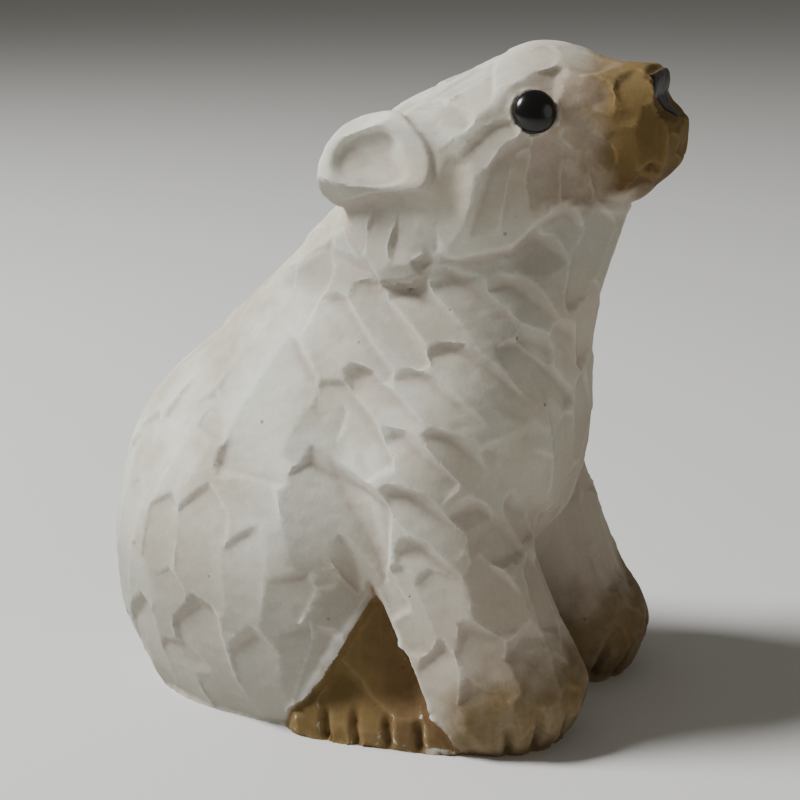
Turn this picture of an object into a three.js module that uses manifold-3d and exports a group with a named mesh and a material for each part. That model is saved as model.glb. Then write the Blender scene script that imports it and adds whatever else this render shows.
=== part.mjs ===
// A sitting polar bear, carved by hand from one block of light wood and painted. It looks up and ahead.
// Millimetres. +X is the way the bear faces, +Y is its left side and +Z is up. It stands on its sawn base.
//
// The bear is one solid: masses are blended into a body, the body is planed all over with flat knife strokes,
// and hollows are gouged out of it. Each eye is a domed bead that sits in a socket of its own.
import * as THREE from "three";
import { mergeVertices } from "three/addons/utils/BufferGeometryUtils.js";
import Module from "manifold-3d";

const wasm = await Module();
wasm.setup();

// ---- Driving dimensions ----
// The form's overall size, before the knife takes off up to DEEPEST_CUT all round.
const HEIGHT = 90; // underside to crown
const LENGTH = 79; // rump to nose
const WIDTH = 55; // across the haunches
const MESH_STEP = 2.39; // grid that the body is meshed on
const EVENING = { passes: 3, pull: 0.6 }; // how the grid's cells are evened out
const BELOW_SAW = 5; // wood left below the underside until it is sawn flat
const FIT_GAP = 0.3; // between a bead and its socket

// The head is carved a little to one side: it turns to the right and its right ear hangs lower.
const HEAD = { pivot: [8, 0, 76], turn: -3, roll: 3 };
const FAR_PAW_STEP = 1.4; // the left paw stands forward of its drawn place
const NEAR_PAW_STEP = -1.7; // the right paw stands back of it

// Where the flank shows, between the haunch's front edge and the foreleg's back edge.
const FLANK_PEAK = [1, 21]; // x and z of the top of that triangle
const HAUNCH_EDGE_LEAN = 30; // degrees from vertical, running back as it falls
const LEG_EDGE_LEAN = 26; // degrees from vertical, running forward as it falls

const EDGE_FILLET = 1.1; // on the haunch's and the leg's edges

// The masses. Each egg is its centre and its half sizes; each round cone is its two ends and their radii.
const TRUNK = {
  rump: { centre: [-16, 0, 17.5], half: [28.4, 24.5, 29.5] },
  back: { from: [-16.6, 0, 28], to: [-0.6, 0, 56], radii: [24, 15.5] },
  chest: { centre: [6, 0, 40], half: [17.4, 21.5, 23] },
  nape: { from: [4, 0, 50], to: [8.2, 0, 65], radii: [17.2, 13.2] },
  throat: { from: [9.4, 0, 54], to: [17.4, 0, 69], radii: [13.7, 10.8] },
};
const FLANK = {
  belly: { centre: [-2.4, -9, 0], half: [14, 13.7, 32] },
  hindFoot: { centre: [0.8, -13, 0], half: [12, 11.3, 6], round: 3.5 },
};
const HAUNCH = { centre: [-12, -13.5, 19], half: [16, 13.5, 22.5] };
const FORELEG = {
  shoulder: { centre: [7, -12, 40], half: [12, 10.5, 15], pitch: -15 },
  shin: { from: [6.5, -13, 34], to: [15, -13.5, 10], radii: [10.6, 10.5] },
  elbow: { from: [4, -12.5, 32], to: [11, -13, 12], radii: [11.2, 11.2] },
  paw: { centre: [16.3, -13, 6.5], half: [12.3, 12, 9.8] },
};
const SKULL = {
  crown: { from: [5, 0, 69], to: [17.4, 0, 79.4], radii: [14.3, 10.2] },
  cheek: { centre: [6, -8, 69.5], half: [13.5, 9.2, 10], pitch: 20 },
  bridge: { from: [18.5, 0, 79.2], to: [28.5, 0, 79.4], radii: [8.4, 7.1] },
  muzzle: { centre: [27.7, 0, 79.6], half: [7.4, 6.8, 7], round: 4 },
  jaw: { from: [17, 0, 72], to: [26.5, 0, 74.5], radii: [8.8, 5.8] },
};
const EAR = {
  root: { from: [4, -11.5, 76], to: [14, -6.8, 79.4], radii: [5.4, 6.2] },
  lobe: { centre: [0.2, -13.8, 72.7], half: [9.2, 5.6, 9], pitch: 25 },
  cutUnder: { through: [0, -19.2, 73], roll: 41.3 },
  hollow: { centre: [0.4, -21.8, 77.4], half: [9.4, 5.6, 4.7], pitch: 6 },
  ruff: { centre: [2.6, -13.4, 63.6], half: [6, 3.6, 3.6], pitch: 15 },
};
const LIP_X = 35.1; // how far forward the lip stands

// The lower edge of cheek and jaw, seen from the side, where the neck is cut back behind it.
const CHEEK_EDGE = [[-0.5, 59.5], [7.3, 62.2], [16, 64.2], [19, 67.2], [27.5, 70.2]];
const CHEEK_STEP = 1; // how deep the neck is cut back there
const CHEEK_STEP_FADE = 11; // down to where the neck is back at full size
const CHEEK_STEP_ENDS = 4; // length over which the step runs out at each end

const NOSE_RECESS = 1.9; // from the lip back to the nose
const LIP_Z = [80.2, 82.4]; // from the lip's fullest to the foot of the nose

const EYE = { across: 6, dome: 1.4, x: 18.4, z: 81.4 };

// ---- Colours and finishes ----
const paintedWood = new THREE.MeshStandardMaterial({ color: 0xbdb8ae, roughness: 0.85, metalness: 0 });
const blackBead = new THREE.MeshStandardMaterial({ color: 0x070606, roughness: 0.12, metalness: 0 });

// ---- Distance to a mass: below zero inside it ----
const radians = THREE.MathUtils.degToRad;

// A point in a mass's own axes: turned about Z, then pitched about Y, then rolled about X.
function inAxes([px, py, pz], [cx, cy, cz], { turn = 0, pitch = 0, roll = 0 } = {}) {
  let [x, y, z] = [px - cx, py - cy, pz - cz];
  const spin = (a, b, angle) => {
    const c = Math.cos(radians(angle));
    const s = Math.sin(radians(angle));
    return [c * a + s * b, c * b - s * a];
  };
  [x, y] = spin(x, y, turn);
  [x, z] = spin(x, z, pitch);
  [y, z] = spin(y, z, roll);
  return [x, y, z];
}

function egg(p, { centre, half, pitch }) {
  const q = inAxes(p, centre, { pitch });
  const near = Math.hypot(...q.map((v, i) => v / half[i]));
  const slope = Math.hypot(...q.map((v, i) => v / half[i] ** 2));
  return slope < 1e-9 ? -Math.min(...half) : (near * (near - 1)) / slope;
}

function block(p, { centre, half, round }) {
  const q = inAxes(p, centre).map((v, i) => Math.abs(v) - (half[i] - round));
  const outside = Math.hypot(...q.map((v) => Math.max(v, 0)));
  return outside + Math.min(Math.max(...q), 0) - round;
}

// A round cone: a ball at each end and the straight taper between them.
function limb(p, { from, to, radii: [startRadius, endRadius] }) {
  const axis = new THREE.Vector3(...to).sub(new THREE.Vector3(...from));
  const gap = new THREE.Vector3(...p).sub(new THREE.Vector3(...from));
  const length = axis.length();
  const along = gap.dot(axis) / length;
  const away = Math.sqrt(Math.max(gap.lengthSq() - along * along, 0));
  const lean = (startRadius - endRadius) / length;
  const square = Math.sqrt(1 - lean * lean);
  const slide = along * square - away * lean;
  if (slide < 0) return gap.length() - startRadius;
  if (slide > length * square) return Math.hypot(away, along - length) - endRadius;
  return away * square + along * lean - startRadius;
}

// Union and intersection with a fillet of about the given size.
function join(a, b, fillet) {
  const h = Math.max(fillet - Math.abs(a - b), 0) / fillet;
  return Math.min(a, b) - (h * h * fillet) / 4;
}
const trim = (a, b, fillet) => -join(-a, -b, fillet);

// Rises smoothly from 0 at the first value to 1 at the second.
const ramp = (v, from, to) => THREE.MathUtils.smoothstep((v - from) / (to - from), 0, 1);

// Distance in front of a leaning line through the flank's peak, seen from the side.
function pastEdge([x, , z], lean) {
  return (x - FLANK_PEAK[0]) * Math.cos(radians(lean)) - (z - FLANK_PEAK[1]) * Math.sin(radians(lean));
}

// ---- The bear's masses. Sizes and places are half of the pair where a mass has a twin ----
function trunk(p) {
  let d = join(egg(p, TRUNK.rump), limb(p, TRUNK.back), 6);
  d = join(d, egg(p, TRUNK.chest), 6);
  d = join(d, limb(p, TRUNK.nape), 5);
  return join(d, limb(p, TRUNK.throat), 4);
}

function flankAndHindFoot(m) {
  return join(egg(m, FLANK.belly), block(m, FLANK.hindFoot), 2.5);
}

function haunch(m) {
  return trim(egg(m, HAUNCH), pastEdge(m, HAUNCH_EDGE_LEAN), EDGE_FILLET);
}

function foreleg(m, step) {
  const stepped = [m[0] - step, m[1], m[2]];
  let d = join(egg(m, FORELEG.shoulder), limb(stepped, FORELEG.shin), 3.5);
  d = join(d, limb(m, FORELEG.elbow), 3);
  d = join(d, egg(stepped, FORELEG.paw), 2.5);
  return trim(d, -pastEdge(m, -LEG_EDGE_LEAN), EDGE_FILLET);
}

function headInPlace(p) {
  const { pivot, turn, roll } = HEAD;
  const h = inAxes(p, pivot, { turn, roll }).map((v, i) => v + pivot[i]);
  const e = [h[0], -Math.abs(h[1]), h[2]];
  return { h, e };
}

function head(p) {
  const { h, e } = headInPlace(p);
  let d = join(limb(h, SKULL.crown), egg(e, SKULL.cheek), 3);
  d = join(d, limb(h, SKULL.bridge), 1.5);
  d = join(d, block(h, SKULL.muzzle), 2);
  d = join(d, limb(h, SKULL.jaw), 2);
  d = trim(d, h[0] - LIP_X + NOSE_RECESS * ramp(h[2], ...LIP_Z), 1.2);
  d = join(d, limb(e, EAR.root), 4);
  d = join(d, earLobe(e), 3.5);
  d = trim(d, -egg(e, EAR.hollow), 1.6);
  return join(d, egg(e, EAR.ruff), 2.5);
}

// An egg cut off below by a slant that faces out and down.
function earLobe(e) {
  const [, slantY] = inAxes(e, EAR.cutUnder.through, EAR.cutUnder);
  return trim(egg(e, EAR.lobe), -slantY, 1.6);
}

// How far the neck is cut back below the cheek's edge: all at once there, and less and less below.
function underCheek([x, , z]) {
  const past = CHEEK_EDGE.findIndex(([along]) => x < along);
  if (past < 1) return 0;
  const [[fromX, fromZ], [toX, toZ]] = [CHEEK_EDGE[past - 1], CHEEK_EDGE[past]];
  const drop = THREE.MathUtils.mapLinear(x, fromX, toX, fromZ, toZ) - z;
  const [first, last] = [CHEEK_EDGE[0][0], CHEEK_EDGE.at(-1)[0]];
  const ends = ramp(x, first, first + CHEEK_STEP_ENDS) * ramp(x, last, last - CHEEK_STEP_ENDS);
  return CHEEK_STEP * ramp(drop, -0.8, 1.4) * ramp(drop, CHEEK_STEP_FADE, 1) * ends;
}

function bear(p) {
  const m = [p[0], -Math.abs(p[1]), p[2]];
  const step = p[1] < 0 ? NEAR_PAW_STEP : FAR_PAW_STEP;
  let d = join(trunk(p), flankAndHindFoot(m), 2);
  d = join(d, haunch(m), 1.5);
  d = join(d, foreleg(m, step), 1.5);
  d = join(d, head(p), 2.5) + underCheek(p);
  return Math.max(d, -p[2] - BELOW_SAW);
}

// ---- Meshing: one vertex in each grid cell that the surface crosses, pulled onto the surface ----
const SLOPE_REACH = 0.25;
const PULL_PASSES = 3;

function slopeAt(p) {
  const n = [0, 1, 2].map((i) => {
    const ahead = p.map((v, k) => v + (k === i ? SLOPE_REACH : 0));
    const behind = p.map((v, k) => v - (k === i ? SLOPE_REACH : 0));
    return bear(ahead) - bear(behind);
  });
  return new THREE.Vector3(...n).normalize();
}

function pulledOn(p) {
  let at = p;
  for (let pass = 0; pass < PULL_PASSES; pass++) {
    const d = bear(at);
    const n = slopeAt(at);
    at = [at[0] - n.x * d, at[1] - n.y * d, at[2] - n.z * d];
  }
  return at;
}

function meshed(low, high, step) {
  const count = low.map((v, i) => Math.ceil((high[i] - v) / step) + 1);
  const cell = (i, j, k) => (k * count[1] + j) * count[0] + i;
  const place = (i, j, k) => [low[0] + i * step, low[1] + j * step, low[2] + k * step];
  const values = new Float32Array(count[0] * count[1] * count[2]);
  const each = (first, visit) => {
    for (let k = first; k < count[2] - 1; k++)
      for (let j = first; j < count[1] - 1; j++)
        for (let i = first; i < count[0] - 1; i++) visit(i, j, k);
  };
  for (let k = 0; k < count[2]; k++)
    for (let j = 0; j < count[1]; j++)
      for (let i = 0; i < count[0]; i++) values[cell(i, j, k)] = bear(place(i, j, k));

  const vertexOf = new Map();
  const points = [];
  each(0, (i, j, k) => {
    const sum = [0, 0, 0];
    let crossings = 0;
    for (let corner = 0; corner < 8; corner++) {
      const a = [i + (corner & 1), j + ((corner >> 1) & 1), k + ((corner >> 2) & 1)];
      for (let axis = 0; axis < 3; axis++) {
        if (corner & (1 << axis)) continue;
        const b = a.map((v, n) => v + (n === axis ? 1 : 0));
        const [va, vb] = [values[cell(...a)], values[cell(...b)]];
        if (va < 0 === vb < 0) continue;
        const t = va / (va - vb);
        a.forEach((v, n) => (sum[n] += v + (b[n] - v) * t));
        crossings++;
      }
    }
    if (!crossings) return;
    vertexOf.set(cell(i, j, k), points.length);
    points.push(pulledOn(place(...sum.map((v) => v / crossings))));
  });

  const quads = [];
  each(1, (i, j, k) => {
    const inside = values[cell(i, j, k)] < 0;
    const around = [
      [[i + 1, j, k], [[i, j - 1, k - 1], [i, j, k - 1], [i, j, k], [i, j - 1, k]]],
      [[i, j + 1, k], [[i - 1, j, k - 1], [i - 1, j, k], [i, j, k], [i, j, k - 1]]],
      [[i, j, k + 1], [[i - 1, j - 1, k], [i, j - 1, k], [i, j, k], [i - 1, j, k]]],
    ];
    for (const [next, cells] of around) {
      if (inside === values[cell(...next)] < 0) continue;
      const quad = cells.map((c) => vertexOf.get(cell(...c)));
      quads.push(inside ? quad : quad.reverse());
    }
  });
  return { points: evened(points, quads).map((p) => new THREE.Vector3(...p)), quads };
}

// Draws every vertex towards the middle of its neighbours, along the surface, so that the cells are even.
function evened(points, quads) {
  const beside = points.map(() => new Set());
  for (const quad of quads) quad.forEach((a, k) => beside[a].add(quad[(k + 1) % 4]).add(quad[(k + 3) % 4]));
  let at = points;
  for (let pass = 0; pass < EVENING.passes; pass++)
    at = at.map((p, i) => {
      const around = [...beside[i]];
      if (!around.length) return p;
      const middle = p.map((_, k) => around.reduce((sum, j) => sum + at[j][k], 0) / around.length);
      return pulledOn(p.map((v, k) => v + (middle[k] - v) * EVENING.pull));
    });
  return at;
}

// ---- Knife strokes ----
const DEEPEST_CUT = 0.9;
const RIM_RISE = 5; // how fast a stroke climbs out past its rim
const STROKE_LIFT = { least: 0.05, most: 0.7 }; // depth of a stroke's flat below the form
const STROKE_SWAY = 0.5; // radians either way in all, along the surface
const STROKE_TILT = 0.12; // radians, end up or end down
const STROKE_SPACING = { along: 0.72, across: 0.86 }; // share of a chip mark that the next one leaves
const SAME_FACE = 0.2; // strokes whose faces are further apart than this do not meet
const STEEPEST_CUT = 0.55; // a stroke leaves wood that faces away from it more than this

// How the knife runs in each part of the bear: the stroke's direction, and a chip mark's length and width.
const KNIFE = {
  muzzle: { run: [0.2, 0, -1], long: 9, wide: 6.5 },
  head: { run: [-0.75, 0, -0.65], long: 15, wide: 7 },
  paw: { run: [0.1, 0, -1], long: 9, wide: 7 },
  breast: { run: [0.15, 0, -1], long: 16, wide: 8 },
  haunch: { run: [-0.1, 0, -1], long: 16, wide: 8.5 },
  back: { run: [-0.75, 0, -0.66], long: 20, wide: 9 },
  shoulder: { run: [0.72, 0, -0.7], long: 16, wide: 7.5 },
};
// Where each of those parts begins.
const JAW_LINE = { z: 62.5, rise: 0.2 };
const EAR_ZONE = { out: 13.5, front: 8 };
const MUZZLE_BACK = 22;
const PAW_ZONE = { top: 11, back: 12 };
const FLANK_ZONE = { top: 24, back: -8, front: 12 };
const HAUNCH_TOP = 30;
const BACK_FRONT = -10;

// The knife for a place on the bear, or null where the form is left as it is.
function knifeAt(p, n) {
  if (p.z - JAW_LINE.rise * p.x > JAW_LINE.z) {
    if (Math.abs(p.y) > EAR_ZONE.out && p.x < EAR_ZONE.front) return null;
    return p.x > MUZZLE_BACK ? KNIFE.muzzle : KNIFE.head;
  }
  if (p.z < PAW_ZONE.top && p.x > PAW_ZONE.back) return KNIFE.paw;
  if (p.z < FLANK_ZONE.top && p.x > FLANK_ZONE.back && p.x < FLANK_ZONE.front) return null;
  if (n.x > 0.75) return KNIFE.breast;
  if (p.z < HAUNCH_TOP) return KNIFE.haunch;
  return p.x < BACK_FRONT || n.x < -0.4 ? KNIFE.back : KNIFE.shoulder;
}

// The same scatter at every run.
function scatter(seed) {
  let state = seed;
  return () => {
    state = (state * 1664525 + 1013904223) % 4294967296;
    return state / 4294967296;
  };
}

function plannedStrokes(points, normals) {
  const random = scatter(7);
  const order = points.map((_, i) => i);
  for (let i = order.length - 1; i > 0; i--) {
    const j = Math.floor(random() * (i + 1));
    [order[i], order[j]] = [order[j], order[i]];
  }
  const strokes = [];
  for (const i of order) {
    const p = points[i];
    const n = normals[i];
    if (p.z < 1) continue;
    const knife = knifeAt(p, n);
    if (!knife) continue;
    const { run, long, wide } = knife;
    const sway = (random() - 0.5) * STROKE_SWAY;
    const along = new THREE.Vector3(...run).projectOnPlane(n).normalize().applyAxisAngle(n, sway);
    const across = new THREE.Vector3().crossVectors(n, along);
    const taken = strokes.some((s) => {
      const gap = new THREE.Vector3().subVectors(p, s.at);
      const u = gap.dot(s.along) / (0.5 * (s.long + long) * STROKE_SPACING.along);
      const v = gap.dot(s.across) / (0.5 * (s.wide + wide) * STROKE_SPACING.across);
      return u * u + v * v < 1 && n.dot(s.normal) > SAME_FACE;
    });
    if (taken) continue;
    const tilt = (random() - 0.5) * STROKE_TILT;
    const normal = n.clone().applyAxisAngle(across, tilt);
    strokes.push({ at: p, normal, along, across, long, wide });
  }
  for (const s of strokes) s.depth = chipDepth(s, points);
  return strokes;
}

// Deep enough that the flat meets the surface at the chip mark's rim.
function chipDepth(stroke, points) {
  let drop = 0;
  let found = 0;
  for (const p of points) {
    const gap = new THREE.Vector3().subVectors(p, stroke.at);
    const r = Math.hypot(gap.dot(stroke.along) / stroke.long, gap.dot(stroke.across) / stroke.wide) * 2;
    const lift = gap.dot(stroke.normal);
    if (r < 0.7 || r > 1.15 || Math.abs(lift) > stroke.wide) continue;
    drop -= lift;
    found++;
  }
  const { least, most } = STROKE_LIFT;
  return found ? THREE.MathUtils.clamp(drop / found, least, most) : least;
}

// How far along its normal a point moves to lie on one stroke's flat, and on the lowest flat there.
function moveTo(stroke, p, n) {
  const facing = n.dot(stroke.normal);
  if (facing < STEEPEST_CUT) return Infinity;
  const gap = new THREE.Vector3().subVectors(p, stroke.at);
  const r = Math.hypot(gap.dot(stroke.along) / stroke.long, gap.dot(stroke.across) / stroke.wide) * 2;
  if (r > 2) return Infinity;
  const rise = RIM_RISE * Math.max(r - 1, 0) ** 2;
  return Math.max((rise - stroke.depth - gap.dot(stroke.normal)) / facing, -DEEPEST_CUT);
}

function lowest(strokes, p, n) {
  let best = { move: 0, owner: null };
  for (const s of strokes) {
    const move = moveTo(s, p, n);
    if (move < best.move) best = { move, owner: s };
  }
  return best;
}

function planed({ points, quads }) {
  const normals = points.map((p) => slopeAt(p.toArray()));
  const strokes = plannedStrokes(points, normals);
  const cuts = points.map((p, i) => lowest(strokes, p, normals[i]));

  // A vertex next to a ridge slides onto it, so that ridges run straight.
  const slide = new Map();
  const offer = (i, to, share) => {
    if (!slide.has(i) || slide.get(i).share > share) slide.set(i, { to, share });
  };
  for (const quad of quads)
    quad.forEach((a, k) => {
      const b = quad[(k + 1) % 4];
      const [s, t] = [cuts[a].owner, cuts[b].owner];
      if (a > b || s === t || !s || !t) return;
      const atA = moveTo(t, points[a], normals[a]) - cuts[a].move;
      const atB = moveTo(s, points[b], normals[b]) - cuts[b].move;
      if (!Number.isFinite(atA + atB) || atA + atB <= 0) return;
      const share = atA / (atA + atB);
      const to = new THREE.Vector3().lerpVectors(points[a], points[b], share);
      if (share < 0.5) offer(a, to, share);
      else offer(b, to, 1 - share);
    });
  const settled = points.map((p, i) => (slide.has(i) ? slide.get(i).to : p));
  const planedPoint = (p, n) => p.clone().addScaledVector(n, lowest(strokes, p, n).move);
  const cut = settled.map((p, i) => planedPoint(p, normals[i]));

  // Each quad is split along the diagonal that lies closer to the planed surface.
  const error = (a, b) => {
    const middle = new THREE.Vector3().lerpVectors(settled[a], settled[b], 0.5);
    const n = new THREE.Vector3().addVectors(normals[a], normals[b]).normalize();
    return new THREE.Vector3().lerpVectors(cut[a], cut[b], 0.5).distanceTo(planedPoint(middle, n));
  };
  const triangles = quads.flatMap(([a, b, c, d]) =>
    error(a, c) <= error(b, d) ? [a, b, c, a, c, d] : [a, b, d, b, c, d],
  );
  return new THREE.BufferGeometry().setFromPoints(cut).setIndex(triangles);
}

// ---- Solids to cut with, and back to a mesh ----
function solidOf(geometry) {
  const bare = geometry.clone();
  for (const name of Object.keys(bare.attributes)) if (name !== "position") bare.deleteAttribute(name);
  const merged = mergeVertices(bare, 1e-4);
  return new wasm.Manifold(
    new wasm.Mesh({
      numProp: 3,
      vertProperties: new Float32Array(merged.attributes.position.array),
      triVerts: new Uint32Array(merged.index.array),
    }),
  );
}

function geometryOf(solid) {
  const { vertProperties, triVerts, numProp } = solid.getMesh();
  const points = [];
  for (let i = 0; i < vertProperties.length; i += numProp)
    points.push(new THREE.Vector3(...vertProperties.subarray(i, i + 3)));
  return new THREE.BufferGeometry().setFromPoints(points).setIndex([...triVerts]);
}

const GOUGE_FACETS = { round: 8, high: 5 };

// A ball pulled to a length, a width and a depth along its own axes, then leant and put in place.
function gouge(at, { long, wide, deep }, aim) {
  const tool = new THREE.SphereGeometry(0.5, GOUGE_FACETS.round, GOUGE_FACETS.high).scale(long, wide, deep);
  const out = new THREE.Vector3(...aim.out).normalize();
  const along = new THREE.Vector3(...aim.along).projectOnPlane(out).normalize();
  const across = new THREE.Vector3().crossVectors(out, along);
  const basis = new THREE.Matrix4().makeBasis(along, across, out);
  tool.applyMatrix4(basis.setPosition(...at));
  return solidOf(tool);
}

const CLOSE_ENOUGH = 0.01;

// Where a line from outside first meets the form.
function surfaceFrom(start, direction) {
  const at = new THREE.Vector3(...start);
  const step = new THREE.Vector3(...direction).normalize();
  for (let d = bear(at.toArray()); d > CLOSE_ENOUGH; d = bear(at.toArray()))
    at.addScaledVector(step, Math.max(d * 0.6, CLOSE_ENOUGH));
  return at;
}

// ---- Toes: notches up from the underside, round the front of each paw and along each hind foot ----
const TOE_NOTCH = { long: 8.5, wide: 1.7, deep: 2.4 };
const PAW_NOTCH_ANGLES = [-62, -38, -14, 10, 34]; // from straight ahead, towards the bear's outer side
const HIND_NOTCHES = [-5.5, -1.5, 2.6, 6.6]; // along X
const NOTCH_Z = { paw: 2.2, hind: 1.6 };

function toeNotches(side) {
  const [x, y] = FORELEG.paw.centre;
  const pawX = x + (side < 0 ? NEAR_PAW_STEP : FAR_PAW_STEP);
  const notches = PAW_NOTCH_ANGLES.map((angle) => {
    const way = [Math.cos(radians(angle)), Math.sin(radians(angle)) * side, 0];
    const from = [pawX + way[0] * WIDTH, -side * y + way[1] * WIDTH, NOTCH_Z.paw];
    return { from, way };
  });
  for (const hindX of HIND_NOTCHES)
    notches.push({ from: [hindX, side * WIDTH, NOTCH_Z.hind], way: [0.25, side, 0] });
  return notches.map(({ from, way }) => {
    const at = surfaceFrom(from, way.map((v) => -v));
    return gouge(at.toArray(), TOE_NOTCH, { out: way, along: [0, 0, 1] });
  });
}

// ---- Mouth: a shallow groove along each side of the muzzle, rising to the front ----
const MOUTH = { long: 11, wide: 1.3, deep: 1.6, x: 29, z: 74.2, along: [0.9, 0, 0.36] };

function mouthGrooves(side) {
  const at = surfaceFrom([MOUTH.x, side * WIDTH, MOUTH.z], [0, -side, 0]);
  return gouge(at.toArray(), MOUTH, { out: [0.25, side, -0.2], along: MOUTH.along });
}

// ---- Eyes ----
const BEAD_FACETS = { round: 16, high: 8 };

function eyeSeat(side) {
  const at = surfaceFrom([EYE.x, side * WIDTH, EYE.z], [0, -side, 0]);
  return { at, out: slopeAt(at.toArray()) };
}

function beadShape(grow) {
  const radius = EYE.across / 2 + grow;
  const ball = new THREE.SphereGeometry(1, BEAD_FACETS.round, BEAD_FACETS.high);
  return ball.scale(radius, radius, EYE.dome + grow);
}

function seated(geometry, { at, out }) {
  const facing = new THREE.Quaternion().setFromUnitVectors(new THREE.Vector3(0, 0, 1), out);
  return geometry.applyQuaternion(facing).translate(at.x, at.y, at.z);
}

// ---- The carving ----
function carvedBody() {
  const room = 10; // round the form, for the grid
  const low = [-LENGTH / 2 - room, -WIDTH / 2 - room, -BELOW_SAW - room];
  const high = [LENGTH / 2 + room, WIDTH / 2 + room, HEIGHT + room];
  const rough = meshed(low, high, MESH_STEP);
  let body = solidOf(planed(rough));
  const underSaw = new THREE.BoxGeometry(2 * LENGTH, 2 * WIDTH, HEIGHT).translate(0, 0, -HEIGHT / 2);
  body = body.subtract(solidOf(underSaw));
  for (const side of [-1, 1]) {
    for (const notch of toeNotches(side)) body = body.subtract(notch);
    body = body.subtract(mouthGrooves(side));
    body = body.subtract(solidOf(seated(beadShape(FIT_GAP), eyeSeat(side))));
  }
  return geometryOf(body);
}

const group = new THREE.Group();

function add(name, geometry, material) {
  const mesh = new THREE.Mesh(geometry, material);
  mesh.name = name;
  group.add(mesh);
}

add("bear", carvedBody(), paintedWood);
add("eye_right", seated(beadShape(0), eyeSeat(-1)), blackBead);
add("eye_left", seated(beadShape(0), eyeSeat(1)), blackBead);

// The origin is the centre of the footprint, on the underside.
const box = new THREE.Box3().setFromObject(group);
const centre = box.getCenter(new THREE.Vector3());
group.position.set(-centre.x, -centre.y, -box.min.z);

export default group;
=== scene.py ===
"""A small polar bear, carved by hand from wood and painted: its looks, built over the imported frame."""

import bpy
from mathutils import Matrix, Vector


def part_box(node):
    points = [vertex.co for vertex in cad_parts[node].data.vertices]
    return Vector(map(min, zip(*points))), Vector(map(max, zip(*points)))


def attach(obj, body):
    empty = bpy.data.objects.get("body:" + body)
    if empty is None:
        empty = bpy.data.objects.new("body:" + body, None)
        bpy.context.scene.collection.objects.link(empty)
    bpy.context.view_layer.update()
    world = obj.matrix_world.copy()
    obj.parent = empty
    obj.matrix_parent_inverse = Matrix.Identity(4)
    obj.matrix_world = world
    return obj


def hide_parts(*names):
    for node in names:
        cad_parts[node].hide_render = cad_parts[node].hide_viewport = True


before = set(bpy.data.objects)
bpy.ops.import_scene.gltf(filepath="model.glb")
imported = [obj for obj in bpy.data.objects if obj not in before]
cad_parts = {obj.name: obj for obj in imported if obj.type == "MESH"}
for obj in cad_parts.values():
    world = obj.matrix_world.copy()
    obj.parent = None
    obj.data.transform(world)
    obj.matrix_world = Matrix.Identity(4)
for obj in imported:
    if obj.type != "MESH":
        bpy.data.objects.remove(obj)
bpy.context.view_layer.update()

import logging
import math
from dataclasses import dataclass, field
from enum import Enum, IntEnum
from typing import ClassVar

import bmesh
import bpy
import numpy as np
from mathutils import Matrix, Vector

LOG = logging.getLogger("bear")
MM = 0.001
Triple = tuple[float, float, float]
Span = tuple[float, float]


# ---- Small geometry helpers. Points are rows of x, y, z in millimetres ----
def spin(a: np.ndarray, b: np.ndarray, degrees: float) -> tuple[np.ndarray, np.ndarray]:
    """Turns the axes under a pair of coordinates.

    Args:
        a: first coordinate of each point.
        b: second coordinate of each point.
        degrees: how far the axes turn.

    Returns:
        The two coordinates in the turned axes.
    """
    c, s = math.cos(math.radians(degrees)), math.sin(math.radians(degrees))
    return c * a + s * b, c * b - s * a


def in_axes(p: np.ndarray, centre: Triple, turn: float = 0, pitch: float = 0, roll: float = 0) -> np.ndarray:
    """Gives points in a mass's own axes.

    Args:
        p: the points.
        centre: the mass's centre.
        turn: degrees about the upright axis.
        pitch: degrees about the sideways axis.
        roll: degrees about the lengthways axis.

    Returns:
        The points, seen from the mass.
    """
    x, y, z = (p - np.asarray(centre, np.float32)).T
    x, y = spin(x, y, turn)
    x, z = spin(x, z, pitch)
    y, z = spin(y, z, roll)
    return np.stack([x, y, z], 1)


def unit(v: np.ndarray) -> np.ndarray:
    """Scales every row to a length of one."""
    return v / np.maximum(np.linalg.norm(v, axis=-1, keepdims=True), 1e-9)


def ramp(value: np.ndarray, low: float, high: float) -> np.ndarray:
    """Rises smoothly from 0 at low to 1 at high, or falls if high is the smaller."""
    t = np.clip((value - low) / (high - low), 0, 1)
    return t * t * (3 - 2 * t)


def join(a: np.ndarray, b: np.ndarray, fillet: float) -> np.ndarray:
    """Joins two masses with a fillet of about the given size."""
    h = np.maximum(fillet - np.abs(a - b), 0) / fillet
    return np.minimum(a, b) - h * h * fillet / 4


def trim(a: np.ndarray, b: np.ndarray, fillet: float) -> np.ndarray:
    """Keeps what two masses share, with a rounded edge."""
    return -join(-a, -b, fillet)


def ripple(p: np.ndarray, size: float, seed: int) -> np.ndarray:
    """Gives a smooth random height between about -1 and 1 at each point.

    Args:
        p: the points.
        size: how far apart the hills are, in millimetres.
        seed: picks the pattern.

    Returns:
        One height for each point.
    """
    rng = np.random.default_rng(seed)
    total = np.zeros(len(p), np.float32)
    waves, shortest, longest, crest = 14, 0.7, 1.5, 1.3
    for _ in range(waves):
        way = unit(rng.normal(size=3)) * 2 * math.pi / (size * rng.uniform(shortest, longest))
        total += np.sin(p @ way.astype(np.float32) + rng.uniform(0, 2 * math.pi))
    return total / math.sqrt(waves) / crest


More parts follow.
